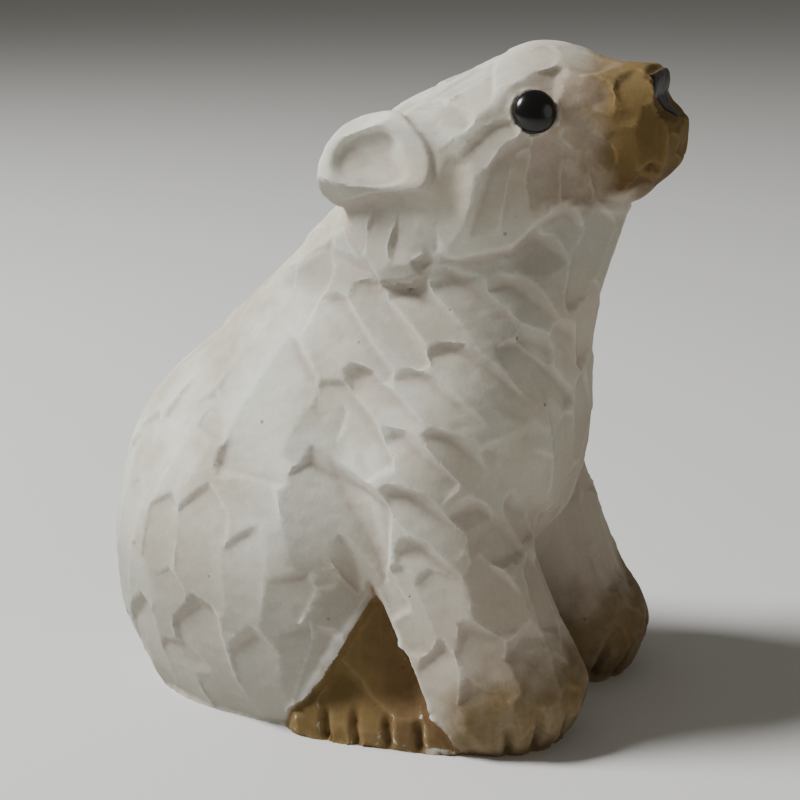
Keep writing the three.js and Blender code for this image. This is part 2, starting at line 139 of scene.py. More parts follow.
# ---- The masses that the bear is roughed out from ----
@dataclass(frozen=True)
class Egg:
    """An ellipsoid mass."""

    centre: Triple
    radii: Triple
    pitch: float = 0.0

    def distance(self, p: np.ndarray) -> np.ndarray:
        """Distance to the mass.

        Args:
            p: the points.

        Returns:
            Millimetres to its surface, below zero inside it.
        """
        q = in_axes(p, self.centre, pitch=self.pitch)
        r = np.asarray(self.radii, np.float32)
        near = np.linalg.norm(q / r, axis=1)
        slope = np.linalg.norm(q / (r * r), axis=1)
        return near * (near - 1) / np.maximum(slope, 1e-6)


@dataclass(frozen=True)
class Block:
    """A box with well rounded edges."""

    centre: Triple
    half: Triple
    rounding: float

    def distance(self, p: np.ndarray) -> np.ndarray:
        """Distance to the block.

        Args:
            p: the points.

        Returns:
            Millimetres to its surface, below zero inside it.
        """
        core = np.asarray(self.half, np.float32) - self.rounding
        q = np.abs(p - np.asarray(self.centre, np.float32)) - core
        outside = np.linalg.norm(np.maximum(q, 0), axis=1)
        return outside + np.minimum(q.max(1), 0) - self.rounding


@dataclass(frozen=True)
class Limb:
    """A ball at each end with the straight taper between them."""

    start: Triple
    end: Triple
    start_radius: float
    end_radius: float

    def distance(self, p: np.ndarray) -> np.ndarray:
        """Distance to the limb.

        Args:
            p: the points.

        Returns:
            Millimetres to its surface, below zero inside it.
        """
        start = np.asarray(self.start, np.float32)
        axis = np.asarray(self.end, np.float32) - start
        length = float(np.linalg.norm(axis))
        out = p - start
        along = out @ (axis / length)
        away = np.sqrt(np.maximum((out * out).sum(1) - along * along, 0))
        lean = (self.start_radius - self.end_radius) / length
        square = math.sqrt(1 - lean * lean)
        slide = along * square - away * lean
        side = away * square + along * lean - self.start_radius
        head = np.linalg.norm(out, axis=1) - self.start_radius
        tail = np.hypot(away, along - length) - self.end_radius
        return np.where(slide < 0, head, np.where(slide > length * square, tail, side))


class Part(IntEnum):
    """The parts of the bear. No stroke of the knife crosses from one to another."""

    BODY = 0
    FLANK = 1
    EAR = 2
    HEAD = 3


@dataclass(frozen=True)
class RoughedBear:
    """The bear's form before the knife: masses joined with fillets. One mass of a pair stands for both."""

    shift: float
    eye_x: ClassVar[float] = 18.4

    rump: Egg = Egg((-16, 0, 17.5), (28.4, 24.5, 29.5))
    back: Limb = Limb((-16.6, 0, 28), (-0.6, 0, 56), 24, 15.5)
    chest: Egg = Egg((6, 0, 40), (17.4, 21.5, 23))
    nape: Limb = Limb((4, 0, 50), (8.2, 0, 65), 17.2, 13.2)
    throat: Limb = Limb((9.4, 0, 54), (17.4, 0, 69), 13.7, 10.8)

    belly: Egg = Egg((-2.4, -9, 0), (14, 14.0, 32))
    hind_foot: Block = Block((0.8, -13, 0), (12, 11.3, 6), 3.5)
    thigh: Egg = Egg((-12, -13.5, 19), (16, 13.5, 22.5))
    flank_peak: Span = (1, 21)
    haunch_edge_lean: float = 30.0
    leg_edge_lean: float = 26.0
    limb_edge: float = 1.0

    shoulder: Egg = Egg((7, -12, 40), (12, 10.5, 15), -15)
    shin: Limb = Limb((6.5, -13, 34), (15, -13.5, 10), 10.6, 10.5)
    elbow: Limb = Limb((4, -12.5, 32), (11, -13, 12), 11.2, 11.2)
    paw: Egg = Egg((16.3, -13, 6.5), (12.3, 12, 9.8))
    near_paw_step: float = -1.7
    far_paw_step: float = 1.4

    head_pivot: Triple = (8, 0, 76)
    head_turn: float = -3.0
    head_roll: float = 3.0
    skull: Limb = Limb((5, 0, 69), (17.4, 0, 79.4), 14.3, 10.2)
    cheek: Egg = Egg((6, -8, 69.5), (13.5, 9.2, 10), 20)
    bridge: Limb = Limb((18.5, 0, 79.2), (28.5, 0, 79.4), 8.4, 7.1)
    muzzle: Block = Block((27.7, 0, 79.6), (7.4, 6.8, 7.0), 4)
    jaw: Limb = Limb((17, 0, 72), (26.5, 0, 74.5), 8.8, 5.8)
    lip_x: float = 35.1
    nose_recess: float = 2.4
    nose_foot: Span = (80.2, 82.6)
    temple: Limb = Limb((4, -11.5, 76), (14, -6.8, 79.4), 5.4, 6.2)
    ear_lobe: Egg = Egg((0.2, -13.8, 72.7), (9.2, 5.6, 9), 25)
    ear_hollow: Egg = Egg((0.8, -21.8, 77.4), (9.8, 5.3, 4.7), 6)
    hollow_edge: float = 2.8
    ear_root: Egg = Egg((2.6, -13.4, 63.6), (6, 3.6, 3.6), 15)

    cheek_step: float = 0.8
    cheek_line: tuple[Span, ...] = (
        (-14.0, 74.0),
        (-0.5, 59.5),
        (4.1, 60.0),
        (7.3, 62.2),
        (12.0, 63.2),
        (16.0, 64.2),
        (19.0, 67.2),
        (23.6, 70.8),
        (27.5, 69.5),
        (36.0, 66.0),
    )
    cheek_back: Span = (-4, 1)
    cheek_front: Span = (23.5, 18)

    # spans over which the knife goes from held back to free, beside each seam between parts
    off_limb: Span = (0.3, 1.2)
    in_ear: Span = (0.5, 0.2)
    off_ear: Span = (0.5, 3.2)
    over_line: Span = (0.2, -1.0)
    under_line: Span = (0.2, 1.2)
    line_hold: float = 0.55
    off_crease: Span = (0.0, 2.2)

    def placed(self, p: np.ndarray) -> np.ndarray:
        """Moves points from the frame's axes to the ones the masses are given in."""
        return p - np.array([self.shift, 0, 0], np.float32)

    def paired(self, p: np.ndarray) -> np.ndarray:
        """Folds the left side on to the right, so that one mass makes a pair."""
        return np.stack([p[:, 0], -np.abs(p[:, 1]), p[:, 2]], 1)

    def past_edge(self, p: np.ndarray, lean: float) -> np.ndarray:
        """Distance in front of a leaning line through the flank's peak, seen from the side."""
        c, s = math.cos(math.radians(lean)), math.sin(math.radians(lean))
        return (p[:, 0] - self.flank_peak[0]) * c - (p[:, 2] - self.flank_peak[1]) * s

    def paw_step(self, p: np.ndarray) -> np.ndarray:
        """How far forward the paw on each point's side is."""
        return np.where(p[:, 1] < 0, self.near_paw_step, self.far_paw_step).astype(np.float32)

    def trunk(self, p: np.ndarray) -> np.ndarray:
        """Rump, back, chest and neck.

        Args:
            p: the points.

        Returns:
            The distance from each point.
        """
        d = join(self.rump.distance(p), self.back.distance(p), fillet=6)
        d = join(d, self.chest.distance(p), fillet=6)
        d = join(d, self.nape.distance(p), fillet=5)
        return join(d, self.throat.distance(p), fillet=4)

    def flank(self, m: np.ndarray) -> np.ndarray:
        """The low triangle of flank, and the hind foot that comes out of it."""
        return join(self.belly.distance(m), self.hind_foot.distance(m), fillet=2.5)

    def haunch(self, m: np.ndarray) -> np.ndarray:
        """The thigh, with its sharp front edge."""
        return trim(self.thigh.distance(m), self.past_edge(m, self.haunch_edge_lean), self.limb_edge)

    def foreleg(self, m: np.ndarray, step: np.ndarray) -> np.ndarray:
        """Shoulder, leg and paw, with a sharp back edge.

        Args:
            m: the points, folded on to the right side.
            step: how far forward the paw is on each point's side.

        Returns:
            The distance from each point.
        """
        stepped = m - np.stack([step, 0 * step, 0 * step], 1)
        d = join(self.shoulder.distance(m), self.shin.distance(stepped), fillet=3.5)
        d = join(d, self.elbow.distance(m), fillet=3)
        d = join(d, self.paw.distance(stepped), fillet=2.5)
        return trim(d, -self.past_edge(m, -self.leg_edge_lean), self.limb_edge)

    def in_head(self, p: np.ndarray) -> np.ndarray:
        """Gives points in the head's own axes."""
        pivot = np.asarray(self.head_pivot, np.float32)
        return in_axes(p, self.head_pivot, turn=self.head_turn, roll=self.head_roll) + pivot

    def scoop(self, e: np.ndarray) -> np.ndarray:
        """The hollow of the ear."""
        return self.ear_hollow.distance(e)

    def ear(self, e: np.ndarray) -> np.ndarray:
        """A cupped ear, open to the side and cut away below.

        Args:
            e: the points in the head's axes, folded on to the right side.

        Returns:
            The distance from each point.
        """
        lobe = trim(self.ear_lobe.distance(e), -self.scoop(e), self.hollow_edge)
        return trim(lobe, -0.55 * (e[:, 1] + 19.0) - 0.835 * (e[:, 2] - 73.6), 0.9)

    def head(self, p: np.ndarray) -> np.ndarray:
        """Skull, cheeks, bridge, muzzle, jaw and ears.

        Args:
            p: the points.

        Returns:
            The distance from each point.
        """
        h = self.in_head(p)
        e = self.paired(h)
        d = join(self.skull.distance(h), self.cheek.distance(e), fillet=3)
        d = join(d, self.bridge.distance(h), fillet=1.5)
        d = join(d, self.muzzle.distance(h), fillet=2)
        d = join(d, self.jaw.distance(h), fillet=2)
        d = trim(d, h[:, 0] - self.lip_x + self.nose_recess * ramp(h[:, 2], *self.nose_foot), fillet=1.2)
        d = join(d, self.temple.distance(e), fillet=4)
        d = trim(join(d, self.ear(e), fillet=2.2), -self.scoop(e), self.hollow_edge)
        return join(d, self.ear_root.distance(e), fillet=2)

    def cheek_drop(self, p: np.ndarray) -> np.ndarray:
        """How far each point is below the lower edge of cheek and jaw."""
        along, high = np.array(self.cheek_line, np.float32).T
        return np.interp(p[:, 0], along, high) - p[:, 2]

    def under_cheek(self, p: np.ndarray) -> np.ndarray:
        """How far the neck is cut back below the cheek, from the nape to the chin.

        Args:
            p: the points.

        Returns:
            Millimetres at each point.
        """
        drop = self.cheek_drop(p)
        reach = ramp(p[:, 0], *self.cheek_back) * ramp(p[:, 0], *self.cheek_front)
        return self.cheek_step * ramp(drop, -0.7, 1.2) * ramp(drop, 11, 1) * reach

    def distance(self, points: np.ndarray) -> np.ndarray:
        """Distance from each point to the whole bear.

        Args:
            points: points in the frame's axes.

        Returns:
            Millimetres to its surface, below zero inside it.
        """
        p = self.placed(points)
        m = self.paired(p)
        d = join(self.trunk(p), self.flank(m), fillet=1.5)
        d = join(d, self.haunch(m), fillet=2)
        d = join(d, self.foreleg(m, self.paw_step(p)), fillet=2)
        d = join(d, self.head(p), fillet=1.6) + self.under_cheek(p)
        return trim(d, -p[:, 2], fillet=0.5)

    def limbs_apart(self, points: np.ndarray) -> np.ndarray:
        """How far each point is from the nearer of haunch and foreleg, which bound the flank.

        Args:
            points: points in the frame's axes.

        Returns:
            Millimetres, below zero inside either.
        """
        p = self.placed(points)
        m = self.paired(p)
        return np.minimum(self.haunch(m), self.foreleg(m, self.paw_step(p)))

    def regions(self, points: np.ndarray) -> tuple[np.ndarray, np.ndarray]:
        """Says which part of the bear each point is on, and how freely the knife cuts there.

        Args:
            points: points on the form.

        Returns:
            The part that each point is on, and a freedom of 0 to 1 that falls where one part meets another.
        """
        p = self.placed(points)
        m, h = self.paired(p), self.in_head(p)
        apart, drop = self.limbs_apart(points), self.cheek_drop(p)
        ear = np.abs(self.ear(self.paired(h)))
        low_and_back = (p[:, 2] < 24) & (p[:, 0] < 12)
        on_flank = (apart > self.off_limb[0]) & (np.abs(self.flank(m)) < 0.6) & low_and_back
        on_head = drop < self.over_line[0]
        part = np.where(on_head, Part.HEAD, Part.BODY)
        part = np.where(on_flank, Part.FLANK, np.where(ear < self.in_ear[0], Part.EAR, part))

        free = np.where(part == Part.FLANK, ramp(apart, *self.off_limb), 1.0)
        free *= np.where(part == Part.EAR, ramp(ear, *self.in_ear), ramp(ear, *self.off_ear))
        off_line = np.where(on_head, ramp(drop, *self.over_line), ramp(drop, *self.under_line))
        free *= 1 - self.line_hold * (1 - off_line)
        crease = np.abs(self.trunk(p) - self.foreleg(m, 0 * p[:, 0]))
        crease = crease + 4 * ramp(p[:, 0], 17, 13) + 4 * ramp(p[:, 2], 40, 46)
        free *= ramp(crease, *self.off_crease)
        between_legs = ramp(np.abs(p[:, 1]), 9, 6) * ramp(p[:, 2], 28, 23) * ramp(p[:, 0], 13, 16)
        free *= 1 - between_legs * ramp(p[:, 0], 27, 24)
        nose = ramp(h[:, 0], 30.6, 31.6) * ramp(np.abs(h[:, 1]), 5.8, 4.6) * ramp(h[:, 2], 79.4, 80.6)
        return part, free * (1 - nose)

    def slope(self, points: np.ndarray) -> tuple[np.ndarray, np.ndarray]:
        """Finds which way is out.

        Args:
            points: where to look.

        Returns:
            The distance at each point, and the unit outward direction there.
        """
        d = self.distance(points)
        reach = np.float32(0.12)
        rise = [self.distance(points + reach * axis) - d for axis in np.eye(3, dtype=np.float32)]
        return d, unit(np.stack(rise, 1))

    def settle(self, points: np.ndarray, passes: int = 4) -> tuple[np.ndarray, np.ndarray]:
        """Moves points onto the form.

        Args:
            points: points near the form.
            passes: how many times each is moved.

        Returns:
            The settled points and their outward directions.
        """
        furthest = 1.5
        for _ in range(passes):
            d, out = self.slope(points)
            points = points - out * np.clip(d, -furthest, furthest)[:, None]
        return points, self.slope(points)[1]


# ---- Knife work ----
@dataclass(frozen=True)
class Stroke:
    """One cut of the knife: a nearly flat floor, a steep wall where it starts, and a run-out."""

    start: Triple
    end: Triple
    wide: float
    deep: float = 0.35
    lean: float = 0.0


@dataclass
class Knife:
    """Cuts every stroke into the form, and keeps the ridges between them crisp."""

    form: RoughedBear
    strokes: list[Stroke] = field(default_factory=list)
    # depths, in millimetres
    deepest: float = 1.6
    bite: float = 0.1
    spare: float = 0.3
    uncut: float = 0.7
    # slopes of the walls at the start, the end and the sides of a stroke
    wall: float = 0.5
    run_out: float = 0.5
    side_wall: float = 0.8
    # shares of a stroke's size or depth
    cup: float = 0.07
    step_scale: float = 0.95
    lean_scale: float = 1.3
    overlap: float = 1.2
    follow: float = 0.85
    # how unlike each other the strokes are
    skew_most: float = 0.6
    point_range: Span = (0.2, 0.6)
    tilt_spread: float = 0.12
    seed: int = 5

    def frames(self, points: np.ndarray, normals: np.ndarray) -> None:
        """Works out each stroke's place, axes and depth on the surface.

        Args:
            points: points on the form.
            normals: their outward directions.
        """
        starts = np.array([s.start for s in self.strokes], np.float32)
        ends = np.array([s.end for s in self.strokes], np.float32)
        centre, out = self.form.settle((starts + ends) / 2, 6)
        run = ends - starts
        long = np.linalg.norm(run, axis=1)
        run = unit(run - (run * out).sum(1, keepdims=True) * out)
        side = np.cross(out, run)
        side = np.where(side[:, 2:] < 0, -side, side)
        self.centre, self.out, self.run, self.side = centre, out, run, side
        self.region = self.form.regions(centre)[0]
        self.long = long.astype(np.float32)
        self.wide = np.array([s.wide for s in self.strokes], np.float32) * self.overlap
        self.step = np.array([s.deep for s in self.strokes], np.float32) * self.step_scale
        self.lean = np.array([s.lean for s in self.strokes], np.float32) * self.lean_scale
        rng = np.random.default_rng(self.seed)
        self.skew = rng.uniform(-self.skew_most, self.skew_most, len(long)).astype(np.float32)
        self.point = rng.uniform(*self.point_range, len(long)).astype(np.float32)
        self.tilt = rng.normal(0, self.tilt_spread, len(long)).astype(np.float32)
        self.floor = np.full(len(self.strokes), self.bite, np.float32)
        self.bow = np.zeros(len(self.strokes), np.float32)
        for i in range(len(self.strokes)):
            self.seat(i, points, normals)

    def seat(self, i: int, points: np.ndarray, normals: np.ndarray) -> None:
        """Bows one stroke's floor with the form, and sets it low enough for its rims to meet the surface.

        Args:
            i: the stroke.
            points: points on the form.
            normals: their outward directions.
        """
        long, wide = self.long[i], self.wide[i]
        close = np.flatnonzero(((points - self.centre[i]) ** 2).sum(1) < (0.6 * long + 0.5 * wide) ** 2)
        close = close[normals[close] @ self.out[i] > 0.2]
        gap = points[close] - self.centre[i]
        u, v, w = gap @ self.run[i], gap @ self.side[i], gap @ self.out[i]
        enough, least_bow, most_bow, most_sag = 8, -0.01, 0.07, 0.6
        line = (np.abs(v) < 0.15 * wide) & (np.abs(u) < 0.5 * long) & (np.abs(w) < wide)
        if line.sum() > enough:
            bow = -(w[line] * u[line] ** 2).sum() / (u[line] ** 4).sum()
            self.bow[i] = np.clip(bow, least_bow, most_bow) * self.follow
        rim = (np.abs(np.abs(2 * v / wide) - 0.8) < 0.15) & (np.abs(u) < 0.35 * long)
        if rim.sum() > enough:
            sag = -(w[rim] + self.bow[i] * u[rim] ** 2)
            self.floor[i] = np.clip(np.median(sag), 0.0, most_sag) + self.bite

    def height(self, i: np.ndarray | int, p: np.ndarray, n: np.ndarray) -> np.ndarray:
        """Finds how far each point moves to lie on a stroke's floor.

        Args:
            i: the stroke, or one stroke for each point.
            p: points on the form.
            n: their outward directions.

        Returns:
            The move along the outward direction, and a large number where the stroke doesn't reach.
        """
        gap = p - self.centre[i]
        u = (gap * self.run[i]).sum(-1)
        v = (gap * self.side[i]).sum(-1)
        w = (gap * self.out[i]).sum(-1)
        facing = (n * self.out[i]).sum(-1)
        long, wide = self.long[i], self.wide[i]
        off = np.abs(2 * v / wide)
        dig = self.step[i] * (0.5 - u / long) + self.tilt[i] * u / long + self.lean[i] * v / wide
        arch = np.abs(2 * v / wide - self.skew[i]) * wide * self.point[i] - long / 2
        climb = self.wall * np.maximum(arch - u, 0)
        past_end = self.run_out * np.maximum(u - long / 2, 0)
        climb += past_end + self.side_wall * np.maximum(off - 1.08, 0) * wide / 2
        floor = self.floor[i] + self.bow[i] * np.minimum(u * u, (0.7 * long) ** 2)
        deepest_here = -self.floor[i] - np.maximum(dig, 0) - self.spare
        blade = np.maximum(self.cup * off * off - floor - dig - w, deepest_here)
        least_facing, furthest_off, out_of_reach = 0.3, 2.4, np.float32(9)
        move = (blade + climb) / np.maximum(facing, least_facing)
        return np.where((facing > least_facing) & (off < furthest_off), move, out_of_reach)

    def lowest(self, p: np.ndarray, n: np.ndarray) -> tuple[np.ndarray, np.ndarray]:
        """Finds the deepest cut at each point.

        Args:
            p: points on the form.
            n: their outward directions.

        Returns:
            The move of each point, and the stroke that owns it, or -1.
        """
        best = np.zeros(len(p), np.float32)
        owner = np.full(len(p), -1, np.int32)
        region, free = self.form.regions(p)
        for i in range(len(self.strokes)):
            close = ((p - self.centre[i]) ** 2).sum(1) < (0.7 * self.long[i] + 0.9 * self.wide[i]) ** 2
            near = np.flatnonzero(close & (region == self.region[i]))
            move = self.height(i, p[near], n[near])
            lower = move < best[near]
            best[near[lower]] = move[lower]
            owner[near[lower]] = i
        return np.maximum(best, -self.deepest) * free - self.uncut * (1 - free), owner

    def cut(self, p: np.ndarray, n: np.ndarray, edges: np.ndarray) -> tuple[np.ndarray, np.ndarray]:
        """Cuts all the strokes, and slides vertices onto the ridges between them.

        Args:
            p: points on the form.
            n: their outward directions.
            edges: pairs of neighbouring points.

        Returns:
            The cut points, and the stroke that each lies on.
        """
        move, owner = self.lowest(p, n)
        a, b = edges[owner[edges[:, 0]] != owner[edges[:, 1]]].T
        well_free, too_steep = 0.95, 5
        free = self.form.regions(p)[1] > well_free
        real = (owner[a] >= 0) & (owner[b] >= 0) & free[a] & free[b]
        a, b = a[real], b[real]
        rise_a = self.height(owner[b], p[a], n[a]) - self.height(owner[a], p[a], n[a])
        rise_b = self.height(owner[a], p[b], n[b]) - self.height(owner[b], p[b], n[b])
        share = rise_a / np.maximum(rise_a + rise_b, 1e-6)
        good = (rise_a >= 0) & (rise_b >= 0) & (rise_a < too_steep) & (rise_b < too_steep)
        a, b, share = a[good], b[good], share[good]
        onto = p[a] + (p[b] - p[a]) * share[:, None]
        mover = np.where(share < 0.5, a, b)
        cost = np.minimum(share, 1 - share)
        order = np.argsort(-cost)
        slid = p.copy()
        slid[mover[order]] = onto[order]
        move, owner = self.lowest(slid, n)
        return slid + n * move[:, None], owner


@dataclass(frozen=True)
class Habit:
    """The way the knife runs over one part of the bear."""

    run: Triple
    long: float
    wide: float
    deep: float = 0.35
    lean: float = 0.0


@dataclass
class Carving:
    """All the knife marks: the bold ones by name, and a fill of ordinary ones."""

    form: RoughedBear
    seed: int = 11
    tries: int = 7000
    apart_along: float = 0.40
    apart_across: float = 0.44
    sway: float = 0.16

    def bold(self) -> list[Stroke]:
        """The marks that give the right side its character.

        Returns:
            Each mark, given one by one.
        """
        return [
            # rump, lower course
            Stroke((-30, -18, 14), (-27, -17, -2), 5.2, 0.6),
            Stroke((-20, -24, 16), (-15, -22, -2), 6.2, 0.65),
            Stroke((-10, -26, 14), (-9, -24, -2), 5.4, 0.6),
            Stroke((-3, -26, 17), (-8, -25, 5), 4.4, 0.4),
            # rump, upper course
            Stroke((-29, -17, 32), (-34, -14, 14), 4.2, 0.4),
            Stroke((-23, -22, 31), (-26, -20, 15), 4.8, 0.5),
            Stroke((-17, -23, 33), (-18, -25, 17), 6.2, 0.6),
            Stroke((-11, -26, 29), (-12, -26, 14), 5.4, 0.4),
            Stroke((-13, -21, 39), (-8, -26, 28), 4.2, 0.5, 0.3),
            Stroke((-30, -14, 40), (-31, -16, 28), 4.4, 0.3),
            # haunch
            Stroke((-2, -21, 37), (-1, -26, 22), 12.5, 0.7),
            # back
            Stroke((-6, -11, 64), (-16, -21, 39), 6.8, 0.2),
            Stroke((-11, -10, 61), (-23, -18, 39), 6.2, 0.2),
            Stroke((-17, -8, 55), (-30, -14, 36), 5.6, 0.2),
            Stroke((-20, -17, 44), (-22, -22, 31), 5.6, 0.3),
            Stroke((-7, -17, 54), (-10, -23, 35), 8.5, 0.45),
            Stroke((-2, -19, 47), (-5, -22, 37), 6.0, 0.3),
            # neck and shoulder: long bands, slanting forward and down
            Stroke((-4, -15, 57), (5, -20, 47), 3.8, 0.25, 0.9),
            Stroke((0, -15, 59), (10, -20, 49), 3.8, 0.25, 1.0),
            Stroke((5, -16, 58), (17, -18, 50), 4.2, 0.25, 1.0),
            Stroke((11, -15, 59), (22, -14, 51), 4.4, 0.3, 1.0),
            Stroke((17, -14, 59), (25, -10, 52), 4.6, 0.3, 0.9),
            Stroke((1, -20, 47), (12, -22, 40), 4.2, 0.3, 1.0),
            Stroke((6, -20, 49), (19, -20, 40), 4.4, 0.3, 1.1),
            Stroke((12, -20, 51), (24, -15, 42), 4.6, 0.3, 1.1),
            Stroke((18, -16, 51), (26, -8, 42), 4.8, 0.3, 0.8),
            Stroke((6, -22, 40), (15, -23, 34), 4.0, 0.3, 1.0),
            Stroke((11, -22, 41), (21, -18, 32), 4.4, 0.3, 1.1),
            Stroke((7, -23, 33), (17, -23, 27), 4.2, 0.35, 1.1),
            Stroke((15, -23, 33), (23, -18, 25), 4.6, 0.3, 1.0),
            Stroke((9, -23, 26), (18, -24, 20), 4.6, 0.3, 1.0),
            Stroke((19, -14, 66), (26, -9, 59), 4.6, 0.3, 0.8),
            # breast
            Stroke((22, -13, 53), (25, -14, 43), 6.4, 0.5),
            Stroke((26, -9, 54), (27, -7, 41), 5.6, 0.4),
            Stroke((22, -20, 40), (23, -20, 26), 6.8, 0.5),
            Stroke((25, -13, 38), (26, -13, 27), 4.6, 0.5),
            Stroke((26, -8, 42), (27, -6, 29), 4.0, 0.4),
            # foreleg
            Stroke((14, -23, 25), (17, -24, 15), 4.8, 0.5),
            Stroke((21, -21, 27), (22, -22, 17), 6.6, 0.4),
            Stroke((26, -14, 25), (26, -16, 16), 4.2, 0.5),
            Stroke((18, -24, 18), (24, -24, 9), 5.4, 0.4),
            Stroke((25, -21, 16), (28, -21, 7), 4.8, 0.4),
            Stroke((26, 5, 18), (29, 4, 7), 4.4, 0.4),
            Stroke((20, -24, 10), (23, -24, 2), 5.4, 0.4),
            # face, fanning back and down from the eye
            Stroke((17, -8, 84.5), (12, -14, 75), 3.8, 0.4, 0.5),
            Stroke((20, -10.5, 80), (15, -13, 74), 3.2, 0.5, 0.7),
            Stroke((15, -13, 75.5), (12.5, -16, 62), 3.8, 0.4, 0.9),
            Stroke((20.7, -11, 78), (17, -14, 63), 4.0, 0.5, 0.9),
            Stroke((23, -11, 77.6), (21.3, -12, 64), 4.2, 0.5, 0.8),
            Stroke((26.2, -10.5, 78), (25.2, -10.5, 69), 4.2, 0.4, 0.8),
            Stroke((29, -9.5, 80), (29, -8.5, 71), 4.4, 0.2, 0.4),
            Stroke((16, -6, 87), (8, -12, 78), 5.0, 0.3, 0.2),
            Stroke((10, -13, 78), (9, -17, 65), 4.4, 0.3, 0.5),
        ]

    @staticmethod
    def mirrored(stroke: Stroke, rng: np.random.Generator) -> Stroke:
        """The like mark on the other side, a little off from where its twin is.

        Args:
            stroke: the mark on the right side.
            rng: where the unevenness comes from.

        Returns:
            The mark on the left side.
        """
        off = rng.normal(size=3) * 0.9
        ends = [tuple(np.array(end) * (1, -1, 1) + off) for end in (stroke.start, stroke.end)]
        return Stroke(ends[0], ends[1], stroke.wide * rng.uniform(0.85, 1.15), stroke.deep, stroke.lean)

    def habit(self, p: np.ndarray, n: np.ndarray) -> Habit | None:
        """Says how the knife runs at one point, or None where it leaves the form alone.

        Args:
            p: the point.
            n: its outward direction.

        Returns:
            The knife's habit there.
        """
        x, _, z = p
        point = p[None].astype(np.float32)
        if z < 1.2:
            return None
        if z - 0.2 * x > 62.5:
            if self.form.regions(point)[0][0] == Part.EAR:
                return Habit((0.3, 0, -1), 9, 6, 0.0)
            if x > 27:
                return Habit((0.3, 0, -1), 8, 4.6, 0.1)
            if n[2] > 0.6:
                return Habit((-1, 0, -0.4), 10, 4.8, 0.25)
            return Habit((-0.55, 0, -0.85), 12, 4.4, 0.4)
        if z < 13 and x > 17:
            return Habit((0.2, 0, -1), 6.5, 4.2, 0.3)
        if z < 22 and -8 < x < 14 and self.form.limbs_apart(point)[0] > 0.2:
            return Habit((0.1, 0, -1), 10, 6, 0.3)
        if n[0] > 0.7:
            return Habit((0.1, 0, -1), 13, 5, 0.4)
        if x > 8 and z < 34:
            return Habit((0.25, 0, -1), 12, 4.8, 0.4)
        if z < 38 and x < 4:
            return Habit((-0.1, 0, -1), 14, 5.4, 0.5)
        if x < -12 or n[0] < -0.35:
            return Habit((-0.7, 0, -0.7), 19, 6.4, 0.25)
        return Habit((0.66, 0, -0.75), 13, 4.2, 0.3, 0.9)

    def fill(self, strokes: list[Stroke], points: np.ndarray, normals: np.ndarray) -> list[Stroke]:
        """Adds ordinary marks wherever the bold ones leave room.

        Args:
            strokes: the marks already laid.
            points: points on the form.
            normals: their outward directions.

        Returns:
            The old and new marks.
        """
        rng = np.random.default_rng(self.seed)
        strokes = strokes + [self.mirrored(s, rng) for s in strokes]
        at = np.array([(np.array(s.start) + np.array(s.end)) / 2 for s in strokes])
        run = unit(np.array([np.array(s.end) - np.array(s.start) for s in strokes]))
        long = np.array([np.linalg.norm(np.array(s.end) - np.array(s.start)) for s in strokes])
        wide = np.array([s.wide for s in strokes])
        made = list(strokes)
        for k in rng.permutation(len(points))[: self.tries]:
            p, n = points[k], normals[k]
            habit = self.habit(p, n)
            if habit is None:
                continue
            way = np.array(habit.run) - np.dot(habit.run, n) * n
            if np.linalg.norm(way) < 0.2:
                way = np.cross(n, [0, 1, 0])
            way = unit(way)
            sway = rng.normal() * self.sway
            way = way * math.cos(sway) + np.cross(n, way) * math.sin(sway)
            l, w = habit.long * rng.uniform(0.8, 1.2), habit.wide * rng.uniform(0.8, 1.25)
            gap = p - at
            u = (gap * run).sum(1)
            off = np.linalg.norm(gap - u[:, None] * run, axis=1)
            clear = (u / (self.apart_along * (long + l))) ** 2 + (off / (self.apart_across * (wide + w))) ** 2
            if clear.min() < 1:
                continue
            start, end = p - way * l / 2, p + way * l / 2
            deep = habit.deep * rng.uniform(0.3, 0.9)
            made.append(Stroke(tuple(start), tuple(end), w, deep, habit.lean + rng.normal() * 0.2))
            at = np.vstack([at, p])
            run = np.vstack([run, way])
            long, wide = np.append(long, l), np.append(wide, w)
        return made


@dataclass
class Groove:
    """A narrow cut along a line, deepest in its middle."""

    path: list[Triple]
    wide: float
    deep: float

    def depth_at(self, p: np.ndarray) -> np.ndarray:
        """How deep the groove is.

        Args:
            p: points on the surface.

        Returns:
            One depth for each point.
        """
        best = np.full(len(p), 9.0, np.float32)
        along = np.zeros(len(p), np.float32)
        pieces = len(self.path) - 1
        for k in range(pieces):
            a, b = np.array(self.path[k], np.float32), np.array(self.path[k + 1], np.float32)
            t = np.clip(((p - a) @ (b - a)) / max(float((b - a) @ (b - a)), 1e-6), 0, 1)
            away = np.linalg.norm(p - a - t[:, None] * (b - a), axis=1)
            closer = away < best
            best = np.where(closer, away, best)
            along = np.where(closer, (k + t) / pieces, along)
        fade = np.clip(np.sin(np.clip(along, 0.02, 0.98) * math.pi) * 2.2, 0, 1)
        return self.deep * fade * np.exp(-((best / (self.wide * 0.5)) ** 2) * 1.2)


# ---- Shader work ----
class Blend(Enum):
    """How one colour goes over another."""

    OVER = "MIX"
    TINT = "MULTIPLY"


